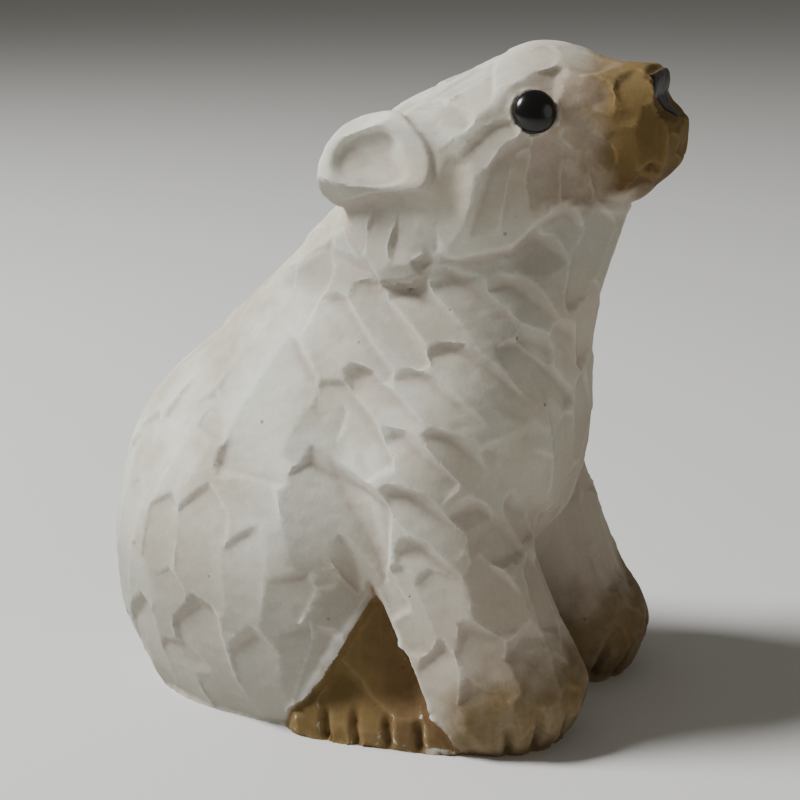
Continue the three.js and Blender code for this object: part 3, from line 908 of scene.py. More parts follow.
class Signal:
    """A number that varies over a surface, usable in ordinary arithmetic."""

    def __init__(self, bench: "Bench", socket: bpy.types.NodeSocket) -> None:
        """Keeps the socket and the bench that it belongs to."""
        self.bench = bench
        self.socket = socket

    def _do(self, operation: str, other: "Signal | float", swapped: bool = False) -> "Signal":
        """Adds one Math node for this value and another.

        Args:
            operation: what the node does.
            other: the second value.
            swapped: whether this value comes second instead.

        Returns:
            The result.
        """
        first, second = (other, self) if swapped else (self, other)
        node = self.bench.node("ShaderNodeMath", {"operation": operation}, {0: first, 1: second})
        return Signal(self.bench, node.outputs[0])

    def __add__(self, other: "Signal | float") -> "Signal":
        """Adds."""
        return self._do("ADD", other)

    def __sub__(self, other: "Signal | float") -> "Signal":
        """Subtracts."""
        return self._do("SUBTRACT", other)

    def __rsub__(self, other: float) -> "Signal":
        """Subtracts, from the other side."""
        return self._do("SUBTRACT", other, True)

    def __mul__(self, other: "Signal | float") -> "Signal":
        """Multiplies."""
        return self._do("MULTIPLY", other)

    __radd__ = __add__
    __rmul__ = __mul__

    def step(self, low: float, high: float) -> "Signal":
        """Rises smoothly from 0 at one value to 1 at another.

        Args:
            low: where the rise starts.
            high: where it ends.

        Returns:
            The rise.
        """
        node = self.bench.node(
            "ShaderNodeMapRange",
            {"interpolation_type": "SMOOTHSTEP", "clamp": True},
            {"Value": self, "From Min": low, "From Max": high, "To Min": 0.0, "To Max": 1.0},
        )
        return Signal(self.bench, node.outputs[0])

    def most(self, other: "Signal | float") -> "Signal":
        """The larger of two values."""
        return self._do("MAXIMUM", other)


class Bench:
    """Builds one material's nodes."""

    def __init__(self, name: str) -> None:
        """Starts a material with only its output and its shader.

        Args:
            name: the material's name.
        """
        self.material = bpy.data.materials.new(name)
        self.material.use_nodes = True
        self.tree = self.material.node_tree
        self.tree.nodes.clear()
        self.output = self.tree.nodes.new("ShaderNodeOutputMaterial")
        self.shader = self.tree.nodes.new("ShaderNodeBsdfPrincipled")
        self.tree.links.new(self.shader.outputs[0], self.output.inputs["Surface"])
        self.place = self.node("ShaderNodeTexCoord").outputs["Object"]

    def node(self, kind: str, settings: dict | None = None, values: dict | None = None) -> bpy.types.Node:
        """Adds a node.

        Args:
            kind: the node's type.
            settings: its own settings.
            values: numbers, colours, sockets or signals for its inputs, by name or number.

        Returns:
            The node.
        """
        node = self.tree.nodes.new(kind)
        for key, value in (settings or {}).items():
            setattr(node, key, value)
        for key, value in (values or {}).items():
            self.feed(node.inputs[key], value)
        return node

    def feed(self, socket: bpy.types.NodeSocket, value: object) -> None:
        """Links or sets one input.

        Args:
            socket: the input.
            value: a number, a colour, a socket or a signal.
        """
        if isinstance(value, Signal):
            self.tree.links.new(value.socket, socket)
        elif isinstance(value, bpy.types.NodeSocket):
            self.tree.links.new(value, socket)
        elif isinstance(value, tuple) and len(value) == 3 and socket.type == "RGBA":
            socket.default_value = (*value, 1)
        else:
            socket.default_value = value

    def stretched(self, scale: Triple, turn: Triple = (0, 0, 0)) -> bpy.types.NodeSocket:
        """Object coordinates, scaled and turned."""
        values = {"Vector": self.place, "Scale": scale, "Rotation": turn}
        return self.node("ShaderNodeMapping", {}, values).outputs[0]

    def noise(self, per_metre: float, detail: float = 3, rough: float = 0.55, where: object = None) -> Signal:
        """Soft random blotches.

        Args:
            per_metre: how many blotches to a metre.
            detail: how many finer layers.
            rough: how strong the finer layers are.
            where: coordinates other than the object's own.

        Returns:
            A value about 0.5.
        """
        values = {"Vector": where or self.place, "Scale": per_metre, "Detail": detail, "Roughness": rough}
        return Signal(self, self.node("ShaderNodeTexNoise", {}, values).outputs["Fac"])

    def dots(self, per_metre: float) -> Signal:
        """Distance to scattered points, in cells."""
        values = {"Vector": self.place, "Scale": per_metre}
        node = self.node("ShaderNodeTexVoronoi", {"feature": "F1"}, values)
        return Signal(self, node.outputs["Distance"])

    def attribute(self, name: str) -> Signal:
        """A number stored on the mesh."""
        return Signal(self, self.node("ShaderNodeAttribute", {"attribute_name": name}).outputs["Fac"])

    def mix(
        self, amount: Signal | float, first: object, second: object, blend: Blend = Blend.OVER
    ) -> bpy.types.NodeSocket:
        """Mixes two colours.

        Args:
            amount: how much of the second colour.
            first: the colour below.
            second: the colour that goes over it.
            blend: how it goes over it.

        Returns:
            The mixed colour.
        """
        settings = {"data_type": "RGBA", "blend_type": blend.value, "clamp_factor": True}
        return self.node("ShaderNodeMix", settings, {0: amount, 6: first, 7: second}).outputs[2]

    def bump(self, height: Signal, strength: float, distance: float) -> None:
        """Feeds a height to the shader's normal.

        Args:
            height: the pattern that stands up.
            strength: how fully it shows.
            distance: how tall it is, in metres.
        """
        values = {"Height": height, "Strength": strength, "Distance": distance}
        self.feed(self.shader.inputs["Normal"], self.node("ShaderNodeBump", {}, values).outputs[0])


@dataclass(frozen=True)
class ChalkPaint:
    """Thin chalky paint on knife-cut wood, with brown stain and a glossy black nose, and painted shade and
    painted ridge highlights in its colour.
    """

    cool: Triple = (0.66, 0.665, 0.59)
    warm: Triple = (0.52, 0.49, 0.395)
    # this colour is random tone, and also painted shade low down and in the hollows
    rose_tone_and_shade: Triple = (0.40, 0.335, 0.285)
    # this colour is painted warm shade towards the front
    beige_shade: Triple = (0.38, 0.325, 0.25)
    # this colour is painted shade under the ears, on the neck and low on the haunches
    drab_shade: Triple = (0.29, 0.275, 0.235)
    blush: Triple = (0.31, 0.232, 0.165)
    olive: Triple = (0.116, 0.070, 0.013)
    # dark brown, also used for painted shade on the lower jaw
    umber_and_jaw_shade: Triple = (0.078, 0.035, 0.003)
    tan: Triple = (0.34, 0.220, 0.085)
    chip: Triple = (0.60, 0.58, 0.50)
    # this colour is a painted highlight on ridges, and the strip of white paint along the flank's edges
    edge_white_and_highlight: Triple = (0.72, 0.71, 0.66)
    grime: Triple = (0.10, 0.08, 0.06)
    black: Triple = (0.006, 0.005, 0.005)
    chalk_roughness: float = 0.92
    nose_roughness: float = 0.26
    specular: float = 0.35
    relief: float = 0.00022

    def material(self) -> bpy.types.Material:
        """Builds the finish: paint with painted shade and painted ridge highlights, then pits, then stain
        with painted shade on the lower jaw, then the nose.

        Returns:
            The material.
        """
        b = Bench("chalk_paint")
        patches = b.noise(75, 3, 0.5)
        mottle = b.noise(330, 4, 0.6)
        grain_lines = b.noise(900, 4, 0.65, b.stretched((1, 1, 0.12), (0.15, -0.2, 0)))
        speck = b.noise(2300, 2, 0.6)
        hollow = b.attribute("hollow")
        ridge = b.attribute("ridge")
        low = b.attribute("low")

        paint = b.mix(patches.step(0.35, 0.68), self.cool, self.warm)
        paint = b.mix((mottle * patches).step(0.22, 0.42) * 0.35, paint, self.rose_tone_and_shade)
        # painted shade: the paint turns rose-grey towards the bottom, most towards the front
        paint = b.mix(low * 0.75, paint, self.rose_tone_and_shade)
        # painted shade: a warm tint that grows towards the front and lower down
        paint = b.mix(b.attribute("front") * 0.6, paint, self.beige_shade)
        # painted shade: drab under the ears, on the neck and low on the haunches
        paint = b.mix(b.attribute("shade") * 0.75, paint, self.drab_shade)
        paint = b.mix(b.attribute("wash") * (mottle * 0.6 + 0.5), paint, self.blush)
        # painted shade: rose-grey in the hollows of the carving
        paint = b.mix(hollow * 0.65, paint, self.rose_tone_and_shade)
        # painted highlight: ridges go lighter; along the flank's edges the lighter colour is the white paint
        # strip there
        paint = b.mix((ridge * 0.25).most(b.attribute("lip") * 0.8), paint, self.edge_white_and_highlight)
        shade = grain_lines * 0.14 + speck * 0.16 + b.attribute("facet") * 0.12 + 0.80
        paint = b.mix(1.0, paint, self.grey(b, shade), Blend.TINT)

        pits = (1 - b.dots(210).step(0.035, 0.07)) * b.noise(90, 1).step(0.52, 0.6)
        paint = b.mix(pits * 0.65, paint, self.grime)

        stain = b.attribute("stain")
        ragged = (stain + (mottle - 0.5) * 0.5 + (grain_lines - 0.5) * 0.3).step(0.04, 0.95)
        # the darker brown lies on the flank, and as painted shade on the lower jaw
        dark = (b.attribute("umber_and_jaw_shade") + (mottle - 0.5) * 0.5).step(0.3, 0.8)
        brown = b.mix(dark, self.olive, self.umber_and_jaw_shade)
        # patches, and a little the ridges, make the brown paler; the ridge part is a painted highlight
        pale = (patches + ridge * 0.3).step(0.45, 0.75) * 0.2
        pale = pale + b.attribute("chipped") * b.attribute("facet") * 0.3
        brown = b.mix(pale, brown, self.tan)
        brown = b.mix(1.0, brown, self.grey(b, grain_lines * 0.5 + speck * 0.2 + 0.66), Blend.TINT)
        worn = (ridge + (mottle - 0.5) * 1.6).step(0.95, 1.2) * b.attribute("chipped")
        brown = b.mix(worn, brown, self.chip)
        skin = b.mix(ragged * 0.96, paint, brown)

        nose = (b.attribute("nose") + (mottle - 0.5) * 0.12).step(0.45, 0.55)
        b.feed(b.shader.inputs["Base Color"], b.mix(nose, skin, self.black))
        chalk = self.chalk_roughness - ragged * 0.10 - (mottle - 0.5) * 0.12
        b.feed(b.shader.inputs["Roughness"], chalk * (1 - nose) + nose * self.nose_roughness)
        b.shader.inputs["Specular IOR Level"].default_value = self.specular
        height = grain_lines * 0.30 + speck * 0.22 + mottle * 0.35 - pits * 1.2
        b.bump(height * (1 - nose), 0.5, self.relief)
        return b.material

    @staticmethod
    def grey(bench: Bench, value: Signal) -> bpy.types.NodeSocket:
        """Makes a grey of a number."""
        return bench.node("ShaderNodeCombineColor", {}, {0: value, 1: value, 2: value}).outputs[0]


@dataclass(frozen=True)
class BeadGloss:
    """Glossy black, with the faint haze and dust of a handled bead."""

    black: Triple = (0.004, 0.004, 0.004)
    dust: Triple = (0.05, 0.048, 0.045)
    specular: float = 0.5

    def material(self) -> bpy.types.Material:
        """Builds the finish.

        Returns:
            The material.
        """
        b = Bench("black_bead")
        haze = b.noise(500, 3, 0.6)
        motes = 1 - b.dots(1500).step(0.06, 0.14)
        b.feed(b.shader.inputs["Base Color"], b.mix(motes * haze.step(0.5, 0.7) * 0.5, self.black, self.dust))
        b.feed(b.shader.inputs["Roughness"], haze * 0.14 + 0.15)
        b.shader.inputs["Specular IOR Level"].default_value = self.specular
        b.bump(b.noise(260, 2), 0.05, 0.0002)
        return b.material


@dataclass(frozen=True)
class StudioFloor:
    """Pale, matt, seamless paper."""

    tone: Triple = (0.68, 0.68, 0.67)
    faint: float = 0.98
    roughness: float = 0.95

    def material(self) -> bpy.types.Material:
        """Builds the finish.

        Returns:
            The material.
        """
        b = Bench("studio_paper")
        darker = tuple(self.faint * c for c in self.tone)
        b.feed(b.shader.inputs["Base Color"], b.mix(b.noise(6, 2), self.tone, darker))
        b.shader.inputs["Roughness"].default_value = self.roughness
        return b.material


# ---- Pieces ----
def piece_from(name: str, mesh: bpy.types.Mesh) -> bpy.types.Object:
    """Puts a mesh in the scene as an object at the origin.

    Args:
        name: the piece's name.
        mesh: its mesh.

    Returns:
        The object.
    """
    piece = bpy.data.objects.new(name, mesh)
    bpy.context.scene.collection.objects.link(piece)
    return piece


def worked(piece: bpy.types.Object, kind: str, settings: dict[str, object]) -> bpy.types.Object:
    """Runs one modifier and keeps its result in the mesh.

    Args:
        piece: the object to work on.
        kind: the modifier's type.
        settings: its settings.

    Returns:
        The same object, with a new mesh.
    """
    modifier = piece.modifiers.new(kind.lower(), kind)
    for key, value in settings.items():
        setattr(modifier, key, value)
    evaluated = piece.evaluated_get(bpy.context.evaluated_depsgraph_get())
    mesh = bpy.data.meshes.new_from_object(evaluated)
    piece.modifiers.clear()
    old, piece.data = piece.data, mesh
    bpy.data.meshes.remove(old)
    return piece


@dataclass(frozen=True)
class PaintPlaces:
    """Where each paint lies, painted shade among them. A span runs from where a paint starts to where it is
    full, in millimetres.
    """

    flank_edge: Span = (0.1, 0.6)
    flank_top: Span = (23, 20)
    flank_back: float = -9
    flank_front: float = 21
    flank_dark: Span = (5, 12)
    head: Span = (61.5, 65.5)
    muzzle: Span = (23.5, 35.5)
    # the next two spans place painted shade on the lower jaw, below the mouth
    jaw_shade_below: Span = (77, 71)
    jaw_shade_front: Span = (28, 34)
    paw_top: Span = (19, 7)
    paw_front: Span = (12, 19)
    hind_foot_top: Span = (3.5, 1.5)
    hind_foot_front: Span = (-6, 0)
    # the next two spans place painted shade low on the bear, strongest towards the front
    low_shade_below: Span = (34, 2)
    low_shade_front: Span = (-24, 10)
    # the next span places painted warm shade, growing towards the front and lower down
    warm_shade_front: Span = (-16, 32)
    blush_front: Span = (17.5, 26)
    blush_top: Span = (88.5, 84)
    # the drab spans below place painted shade under the ears, on the neck and low on the haunches
    drab_ear_top: Span = (74.4, 72.8)
    drab_ear_foot: Span = (57, 61)
    drab_ear_front: Span = (9, 3)
    drab_ear_out: Span = (-11, -13)
    drab_neck_top: Span = (0.5, 3)
    drab_neck_foot: Span = (18, 8)
    drab_neck_front: Span = (-6, 2)
    drab_haunch_top: Span = (36, 12)
    drab_haunch_front: Span = (8, -2)


@dataclass
class CarvedBody:
    """The bear itself: one block of wood, knife-cut and painted."""

    form: RoughedBear
    places: PaintPlaces = PaintPlaces()
    eyes: list[Triple] = field(default_factory=list)
    eye_radius: float = 2.72
    socket_deep: float = 0.9
    socket_rim: float = 0.16
    # mesh
    voxel: float = 0.00034
    most_triangles: int = 190_000
    sharp_angle: float = 38
    # paint in the slots
    pool_rounds: int = 7
    pool_from: float = 0.035
    pool_share: float = 0.7
    # nose pad and mouth
    nose_pad: float = 0.3
    mouth: tuple[Triple, ...] = ((39.2, 1.5, 74.9), (37.0, 7.0, 74.4), (34.4, 8.4, 72.6), (31.0, 8.8, 71.2))
    mouth_wide: float = 1.1
    mouth_deep: float = 0.7
    # toes: fore toes by angle round the paw, hind toes by their place along the foot
    toe_deep: float = 1.1
    fore_toe_high: float = 6.8
    fore_toe_degrees: float = 3.6
    hind_toe_high: float = 5.6
    hind_toe_wide: float = 0.62
    fore_toes: tuple[float, ...] = (-48, -25, -3, 20, 44, 66)
    hind_toes: tuple[float, ...] = (-5.4, -1.2, 3.2, 7.4)

    def blank(self) -> bpy.types.Object:
        """An evenly meshed copy of the frame's bear, ready for the knife.

        Returns:
            The copy, as a new piece.
        """
        work = bmesh.new()
        work.from_mesh(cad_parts["bear"].data)
        bmesh.ops.remove_doubles(work, verts=work.verts, dist=1e-6)
        mesh = bpy.data.meshes.new("carved_bear")
        work.to_mesh(mesh)
        work.free()
        piece = piece_from("carved_bear", mesh)
        return worked(piece, "REMESH", {"mode": "VOXEL", "voxel_size": self.voxel, "adaptivity": 0.0})

    def mouth_line(self, p: np.ndarray) -> np.ndarray:
        """How deep the mouth's two halves are cut.

        Args:
            p: points on the form.

        Returns:
            One depth for each point.
        """
        halves = [[(x, side * y, z) for x, y, z in self.mouth] for side in (-1, 1)]
        return sum(Groove(path, self.mouth_wide, self.mouth_deep).depth_at(p) for path in halves)

    def toes(self, p: np.ndarray) -> np.ndarray:
        """How deep the cuts between the toes are at each point.

        Args:
            p: points on the form.

        Returns:
            One depth for each point.
        """
        depth = np.zeros(len(p), np.float32)
        for side in (-1, 1):
            step = self.form.near_paw_step if side < 0 else self.form.far_paw_step
            centre = np.array([self.form.paw.centre[0] + step + self.form.shift, side * 13.0], np.float32)
            around = np.degrees(np.arctan2((p[:, 1] - centre[1]) * side, p[:, 0] - centre[0]))
            paw = ramp(p[:, 0], centre[0] + 0.5, centre[0] + 2.5) * (p[:, 1] * side > 0)
            for k, angle in enumerate(self.fore_toes):
                high = self.fore_toe_high + 1.1 * math.sin(k * 2.3 + side)
                notch = np.exp(-(((around - angle - (p[:, 2] - 3) * 0.6) / self.fore_toe_degrees) ** 2))
                depth += notch * paw * ramp(p[:, 2], high, high - 3.5) * self.toe_deep
            for k, place in enumerate(self.hind_toes):
                x = place + self.form.shift
                high = self.hind_toe_high + 0.5 * math.sin(k * 1.7)
                near = np.exp(-(((p[:, 0] - x + (p[:, 2] - 2) * 0.1) / self.hind_toe_wide) ** 2))
                foot = ramp(p[:, 2], high, 3.0) * ramp(p[:, 1] * side, 15, 19)
                depth += near * foot * self.toe_deep
        return depth

    def nose(self, p: np.ndarray) -> np.ndarray:
        """Finds the nose: a shield, broad at the top and pointed below.

        Args:
            p: points on the form.

        Returns:
            1 on the nose and 0 off it, soft at its edge.
        """
        q = self.form.in_head(self.form.placed(p))
        tall = ramp(q[:, 2], 80.3, 81.2) * ramp(q[:, 2], 86.8, 86.0)
        half = 0.7 + 3.6 * ramp(q[:, 2], 80.2, 84.6)
        return ramp(np.abs(q[:, 1]), half + 0.4, half - 0.4) * tall * ramp(q[:, 0], 30.6, 31.4)

    def edges_of_flank(self, p: np.ndarray) -> tuple[np.ndarray, np.ndarray]:
        """Finds the cut edges that bound the flank.

        Args:
            p: points on the form.

        Returns:
            How near each point is to either edge, and the height of the lip turned up along the haunch's.
        """
        q = self.form.placed(p)
        on_limb = (self.form.limbs_apart(p) < 0.3) & (np.abs(q[:, 1]) > 14)
        low = ramp(q[:, 2], 19, 16) * ramp(q[:, 2], 1, 3) * on_limb
        haunch = self.form.past_edge(q, self.form.haunch_edge_lean)
        leg = self.form.past_edge(q, -self.form.leg_edge_lean)
        near = np.exp(-(((haunch + 0.3) / 0.6) ** 2)) + np.exp(-(((leg - 0.3) / 0.6) ** 2))
        lip = (0.5 + 0.2 * ripple(p, 3.0, 6)) * np.exp(-(((haunch + 0.5) / 0.9) ** 2))
        return near * low, lip * low * ramp(q[:, 2], 15, 12)

    def socket(self, p: np.ndarray, eye: np.ndarray, out: np.ndarray) -> np.ndarray:
        """The hole that a bead sits in, with the paint built up round it.

        Args:
            p: points on the surface.
            eye: the bead's seat.
            out: the way it faces.

        Returns:
            How far each point moves out, below zero in the hole.
        """
        gap = p - eye
        flat = gap - (gap @ out)[:, None] * out
        r = np.linalg.norm(flat, axis=1) / self.eye_radius
        near = np.abs(gap @ out) < 4
        rim = self.socket_rim * np.exp(-(((r - 1.14) / 0.09) ** 2)) * (1 + 0.6 * ripple(p, 1.8, 31))
        return np.where(near, rim - self.socket_deep * ramp(r, 1.01, 0.92), 0)

    def knifed(self, p: np.ndarray, n: np.ndarray, edges: np.ndarray) -> tuple[np.ndarray, np.ndarray]:
        """Cuts every knife mark, and lets paint pool in the slots.

        Args:
            p: points on the form.
            n: their outward directions.
            edges: pairs of neighbouring points.

        Returns:
            The cut points, and the stroke that each lies on.
        """
        carving = Carving(self.form)
        knife = Knife(self.form, carving.fill(carving.bold(), p, n))
        knife.frames(p, n)
        LOG.info("knife: %d strokes", len(knife.strokes))
        cut, owner = knife.cut(p, n, edges)
        return self.pooled(np.where(self.underside(p)[:, None], p, cut), n, edges), owner

    def detailed(self, cut: np.ndarray, p: np.ndarray, n: np.ndarray) -> np.ndarray:
        """Adds nose pad, toes, mouth, the flank's torn edges, eye sockets and the sawn underside.

        Args:
            cut: the surface after the knife.
            p: the same points before it.
            n: their outward directions.

        Returns:
            The finished surface.
        """
        cut = cut + n * (self.nose(p) * self.nose_pad)[:, None]
        cut = cut - n * (self.toes(p) + self.mouth_line(p))[:, None]
        edge, lip = self.edges_of_flank(p)
        burr = np.maximum(ripple(p, 2.6, 5), 0) * edge * 0.35 + lip
        wander = 0.03 * ripple(p, 2.2, 8) + 0.015 * ripple(p, 0.9, 9)
        cut = cut + n * (burr + wander)[:, None]
        for eye in self.eyes:
            seat, out = self.form.settle(np.array([eye], np.float32))
            cut = cut + n * self.socket(p, seat[0], out[0])[:, None]
        cut[:, 2] = np.where(self.underside(p), 0, np.maximum(cut[:, 2], 0))
        return cut

    @staticmethod
    def underside(p: np.ndarray) -> np.ndarray:
        """Whether each point is on the flat that the bear stands on."""
        return p[:, 2] < 0.25

    def build(self) -> bpy.types.Object:
        """Carves the blank, stores what the finish needs on it, thins the mesh and paints it.

        Returns:
            The finished piece.
        """
        piece = self.blank()
        mesh = piece.data
        p = np.empty(len(mesh.vertices) * 3, np.float32)
        mesh.vertices.foreach_get("co", p)
        edges = np.empty(len(mesh.edges) * 2, np.int32)
        mesh.edges.foreach_get("vertices", edges)
        edges = edges.reshape(-1, 2)
        p, n = self.form.settle(p.reshape(-1, 3) / MM)
        LOG.info("blank: %d vertices", len(p))

        knifed, owner = self.knifed(p, n, edges)
        cut = self.detailed(knifed, p, n)
        mesh.vertices.foreach_set("co", (cut * MM).astype(np.float32).ravel())
        self.mark(mesh, p, cut, n, edges, owner)
        mesh.update()

        faces = len(mesh.polygons) * 2
        piece = worked(piece, "TRIANGULATE", {"quad_method": "SHORTEST_DIAGONAL"})
        piece = worked(piece, "DECIMATE", {"ratio": min(1.0, self.most_triangles / faces)})
        LOG.info("thinned %d to %d triangles", faces, len(piece.data.polygons))
        piece.data.polygons.foreach_set("use_smooth", np.ones(len(piece.data.polygons), bool))
        piece.data.set_sharp_from_angle(angle=math.radians(self.sharp_angle))
        piece.data.materials.clear()
        piece.data.materials.append(ChalkPaint().material())
        return piece

    def mark(
        self,
        mesh: bpy.types.Mesh,
        p: np.ndarray,
        cut: np.ndarray,
        n: np.ndarray,
        edges: np.ndarray,
        owner: np.ndarray,
    ) -> None:
        """Stores the finish's masks on the mesh, painted shade and painted highlight among them.

        Args:
            mesh: the carved mesh.
            p: the points before the knife.
            cut: the points after it.
            n: the outward directions.
            edges: pairs of neighbouring points.
            owner: the stroke that each point lies on.
        """
        x, y, z = p.T
        at = self.places
        blotch = ripple(p, 6, 21)
        flank = ramp(self.form.limbs_apart(p), *at.flank_edge) * (np.abs(y) > 9) * (x > at.flank_back)
        flank = flank * (x < at.flank_front) * ramp(z, *at.flank_top)
        head = ramp(z - 0.2 * x + 0.4 * blotch, *at.head)
        muzzle = ramp(x + 0.8 * blotch + 0.1 * (z - 78), *at.muzzle) * head
        paw = ramp(z + 1.6 * blotch - 0.25 * (x - 24), *at.paw_top) * ramp(x, *at.paw_front) * (z < 34)
        hind = ramp(z, *at.hind_foot_top) * ramp(x, *at.hind_foot_front)
        lip = np.clip(self.edges_of_flank(p)[0], 0, 1)
        dark_flank = flank * (0.35 + 0.5 * ramp(x + 0.3 * z, *at.flank_dark))
        # painted shade: the stain darkens on the lower jaw, below the mouth
        jaw_shade = muzzle * ramp(z + 0.3 * blotch, *at.jaw_shade_below) * ramp(x, *at.jaw_shade_front) * 0.9
        masks = {
            "stain": np.maximum.reduce([flank, muzzle, paw * 0.74, hind * 0.6]) * (1 - lip),
            # darker brown on the flank, and painted shade on the lower jaw
            "umber_and_jaw_shade": np.maximum(dark_flank, jaw_shade),
            "chipped": flank,
            "lip": lip,
            "nose": self.nose(p),
            # painted shade: grows towards the bottom, most towards the front
            "low": ramp(z - 0.25 * x, *at.low_shade_below) * (0.35 + 0.65 * ramp(x, *at.low_shade_front)),
            "facet": np.random.default_rng(3).uniform(0, 1, int(owner.max()) + 2)[owner],
            # painted shade: warm, growing towards the front and lower down
            "front": ramp(x + 0.3 * (40 - z), *at.warm_shade_front),
            "wash": ramp(x + 0.5 * blotch, *at.blush_front) * head * ramp(z, *at.blush_top),
            # painted shade under the ears, on the neck and low on the haunches
            "shade": self.shaded(p),
            # how far the surface bends out; it places painted highlights on ridges and the real chips on the
            # flank
            "ridge": np.clip(self.bend(cut, n, edges, rounds=2) - 0.1, 0, 1),
            # how far each point sits below its neighbours; it places painted shade in the hollows
            "hollow": np.clip(-self.bend(cut, n, edges, rounds=14) * 1.2, 0, 1),
        }
        for name, values in masks.items():
            layer = mesh.attributes.new(name, "FLOAT", "POINT")
            layer.data.foreach_set("value", values.astype(np.float32))

    def shaded(self, p: np.ndarray) -> np.ndarray:
        """Where shade is painted into the colour: under each ear, on the near side of the neck below the
        cheek and low on the haunches.

        Args:
            p: points on the form.

        Returns:
            0 to 1 at each point.
        """
        at = self.places
        q = self.form.placed(p)
        e = self.form.paired(self.form.in_head(q))
        ear = ramp(e[:, 2], *at.drab_ear_top) * ramp(e[:, 2], *at.drab_ear_foot)
        ear = ear * ramp(e[:, 0], *at.drab_ear_front) * ramp(e[:, 1], *at.drab_ear_out)
        drop = self.form.cheek_drop(q)
        neck = 0.6 * ramp(drop, *at.drab_neck_top) * ramp(drop, *at.drab_neck_foot)
        neck = neck * ramp(q[:, 0], *at.drab_neck_front) * (q[:, 1] < 0)
        haunch = ramp(q[:, 2], *at.drab_haunch_top) * ramp(q[:, 0], *at.drab_haunch_front)
        return np.maximum.reduce([ear, neck, haunch])

    @staticmethod
    def around(points: np.ndarray, edges: np.ndarray) -> np.ndarray:
        """The mean of each point's neighbours.

        Args:
            points: the surface.
            edges: pairs of neighbours.

        Returns:
            One mean for each point.
        """
        a, b = edges.T
        count = np.bincount(edges.ravel(), minlength=len(points))
        total = [np.bincount(a, co[b], len(points)) + np.bincount(b, co[a], len(points)) for co in points.T]
        return (np.stack(total, 1) / np.maximum(count, 1)[:, None]).astype(np.float32)

    def pooled(self, points: np.ndarray, normals: np.ndarray, edges: np.ndarray) -> np.ndarray:
        """Lets thick paint pool in the narrowest slots between chips.

        Args:
            points: the cut surface.
            normals: outward directions.
            edges: pairs of neighbours.

        Returns:
            The surface with its slots part filled.
        """
        for _ in range(self.pool_rounds):
            sunk = ((self.around(points, edges) - points) * normals).sum(1)
            points = points + normals * (np.maximum(sunk - self.pool_from, 0) * self.pool_share)[:, None]
        return points

    def bend(self, points: np.ndarray, normals: np.ndarray, edges: np.ndarray, rounds: int) -> np.ndarray:
        """How sharply the surface bends out, averaged over a few rings of neighbours.

        Args:
            points: the surface.
            normals: outward directions.
            edges: pairs of neighbours.
            rounds: how many rings.

        Returns:
            Millimetres above the neighbours' mean, below zero in hollows, scaled to about one.
        """
        mean = points
        for _ in range(rounds):
            mean = self.around(mean, edges)
        lift = ((points - mean) * normals).sum(1)
        return lift / (0.05 * math.sqrt(rounds))


@dataclass
class BeadEye:
    """A domed bead set in a socket."""

    node: str
    segments: int = 48
    dome: float = 1.55

    def build(self, form: RoughedBear, radius: float) -> bpy.types.Object:
        """Makes the bead where the frame's bead is.

        Args:
            form: the bear it is set in.
            radius: half its width, in millimetres.

        Returns:
            The bead.
        """
        low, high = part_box(self.node)
        middle = np.array([(Vector(low) + Vector(high)) / 2], np.float32) / MM
        seat, out = form.settle(middle)
        facing = Vector(out[0].tolist()).to_track_quat("Z", "Y").to_matrix().to_4x4()
        place = Matrix.Translation(Vector((seat[0] * MM).tolist())) @ facing
        work = bmesh.new()
        bmesh.ops.create_uvsphere(work, u_segments=self.segments, v_segments=self.segments // 2, radius=1.0)
        bmesh.ops.scale(work, vec=Vector((radius, radius, self.dome)) * MM, verts=work.verts)
        bmesh.ops.transform(work, matrix=place, verts=work.verts)
        mesh = bpy.data.meshes.new(self.node + "_bead")
        work.to_mesh(mesh)
        work.free()
        mesh.polygons.foreach_set("use_smooth", np.ones(len(mesh.polygons), bool))
        mesh.materials.append(BeadGloss().material())
        return piece_from(self.node + "_bead", mesh)


@dataclass(frozen=True)
class Lamp:
    """One soft area light that points at the bear. Metres and watts."""

    name: str
    place: Triple
    size: float
    power: float
    colour: Triple
    aim: Triple = (0, 0, 0.04)

    def build(self) -> None:
        """Hangs the light."""
        data = bpy.data.lights.new(self.name, "AREA")
        data.shape = "DISK"
        data.size = self.size
        data.energy = self.power
        data.color = self.colour
        lamp = bpy.data.objects.new(self.name, data)
        lamp.location = self.place
        lamp.rotation_mode = "QUATERNION"
        lamp.rotation_quaternion = (Vector(self.aim) - Vector(self.place)).to_track_quat("-Z", "Y")
        bpy.context.scene.collection.objects.link(lamp)


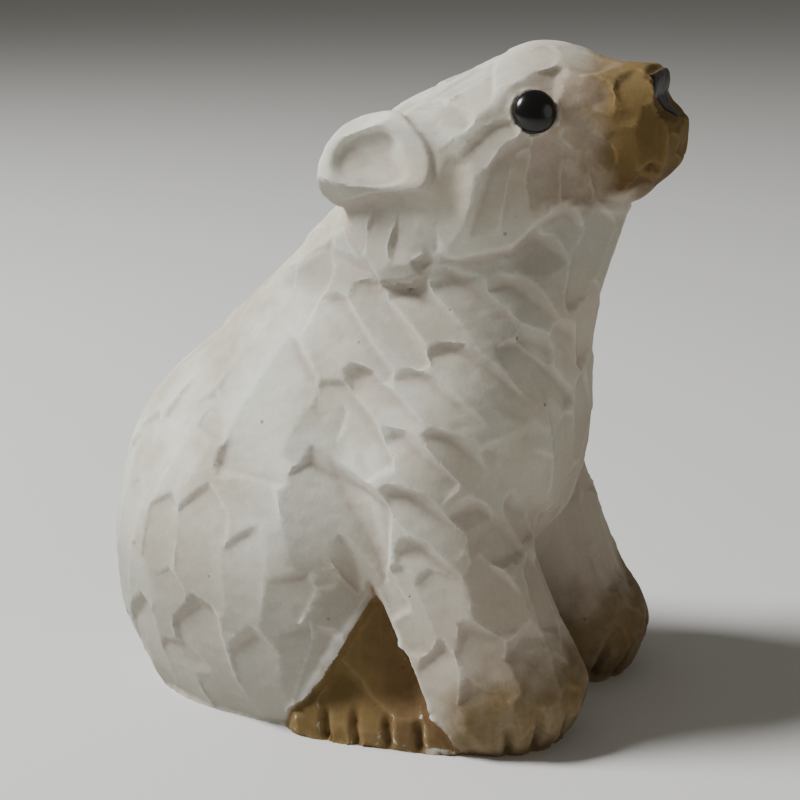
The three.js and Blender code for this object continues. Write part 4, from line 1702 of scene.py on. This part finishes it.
@dataclass
class Studio:
    """A pale floor, soft light and the camera."""

    target: Triple
    azimuth: float = 18.0
    elevation: float = 14.0
    distance: float = 260.0
    lens: float = 85.4
    film: float = 36.0
    floor_half: float = 3.0
    lamps: tuple[Lamp, ...] = (
        Lamp("key", (-0.64, -0.24, 0.74), 0.32, 17.0, (1.0, 1.0, 0.98)),
        Lamp("fill", (0.85, -0.15, 0.3), 0.6, 0.7, (1.0, 0.93, 0.84)),
    )
    sky: Triple = (1.0, 0.95, 0.86)
    sky_strength: float = 0.14

    def camera(self) -> None:
        """Sets the camera up."""
        a, e = math.radians(self.azimuth), math.radians(self.elevation)
        back = Vector((math.sin(a) * math.cos(e), -math.cos(a) * math.cos(e), math.sin(e)))
        data = bpy.data.cameras.new("camera")
        data.lens = self.lens
        data.sensor_width = self.film
        data.clip_start, data.clip_end = 0.01, 20.0
        camera = bpy.data.objects.new("camera", data)
        camera.location = (Vector(self.target) + back * self.distance) * MM
        camera.rotation_mode = "QUATERNION"
        camera.rotation_quaternion = (-back).to_track_quat("-Z", "Y")
        bpy.context.scene.collection.objects.link(camera)
        bpy.context.scene.camera = camera

    def build(self) -> None:
        """Lays the floor, lights it and sets the camera up."""
        work = bmesh.new()
        bmesh.ops.create_grid(work, x_segments=1, y_segments=1, size=self.floor_half)
        mesh = bpy.data.meshes.new("floor")
        work.to_mesh(mesh)
        work.free()
        mesh.materials.append(StudioFloor().material())
        piece_from("floor", mesh)
        for lamp in self.lamps:
            lamp.build()
        world = bpy.data.worlds.new("studio")
        world.use_nodes = True
        world.node_tree.nodes["Background"].inputs[0].default_value = (*self.sky, 1)
        world.node_tree.nodes["Background"].inputs[1].default_value = self.sky_strength
        bpy.context.scene.world = world
        self.camera()


def main() -> None:
    """Builds the bear, its eyes and the studio."""
    logging.basicConfig(level=logging.INFO, format="%(name)s: %(message)s")
    eye_nodes = ("eye_right", "eye_left")
    middles = []
    for node in eye_nodes:
        low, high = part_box(node)
        middles.append(tuple((Vector(low) + Vector(high)) / 2 / MM))
    form = RoughedBear(shift=middles[0][0] - RoughedBear.eye_x)
    LOG.info("form shifted %.3f mm", form.shift)
    body = CarvedBody(form, eyes=middles)
    bear = body.build()
    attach(bear, "root")
    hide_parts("bear")
    LOG.info("built %s", bear.name)
    for node in eye_nodes:
        bead = BeadEye(node).build(form, body.eye_radius)
        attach(bead, "root")
        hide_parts(node)
        LOG.info("built %s", bead.name)
    camera_back, camera_high = 2.886, 40.5
    Studio(target=(form.shift - camera_back, 0.0, camera_high)).build()
    LOG.info("built the studio")


if __name__ == "__main__":
    main()
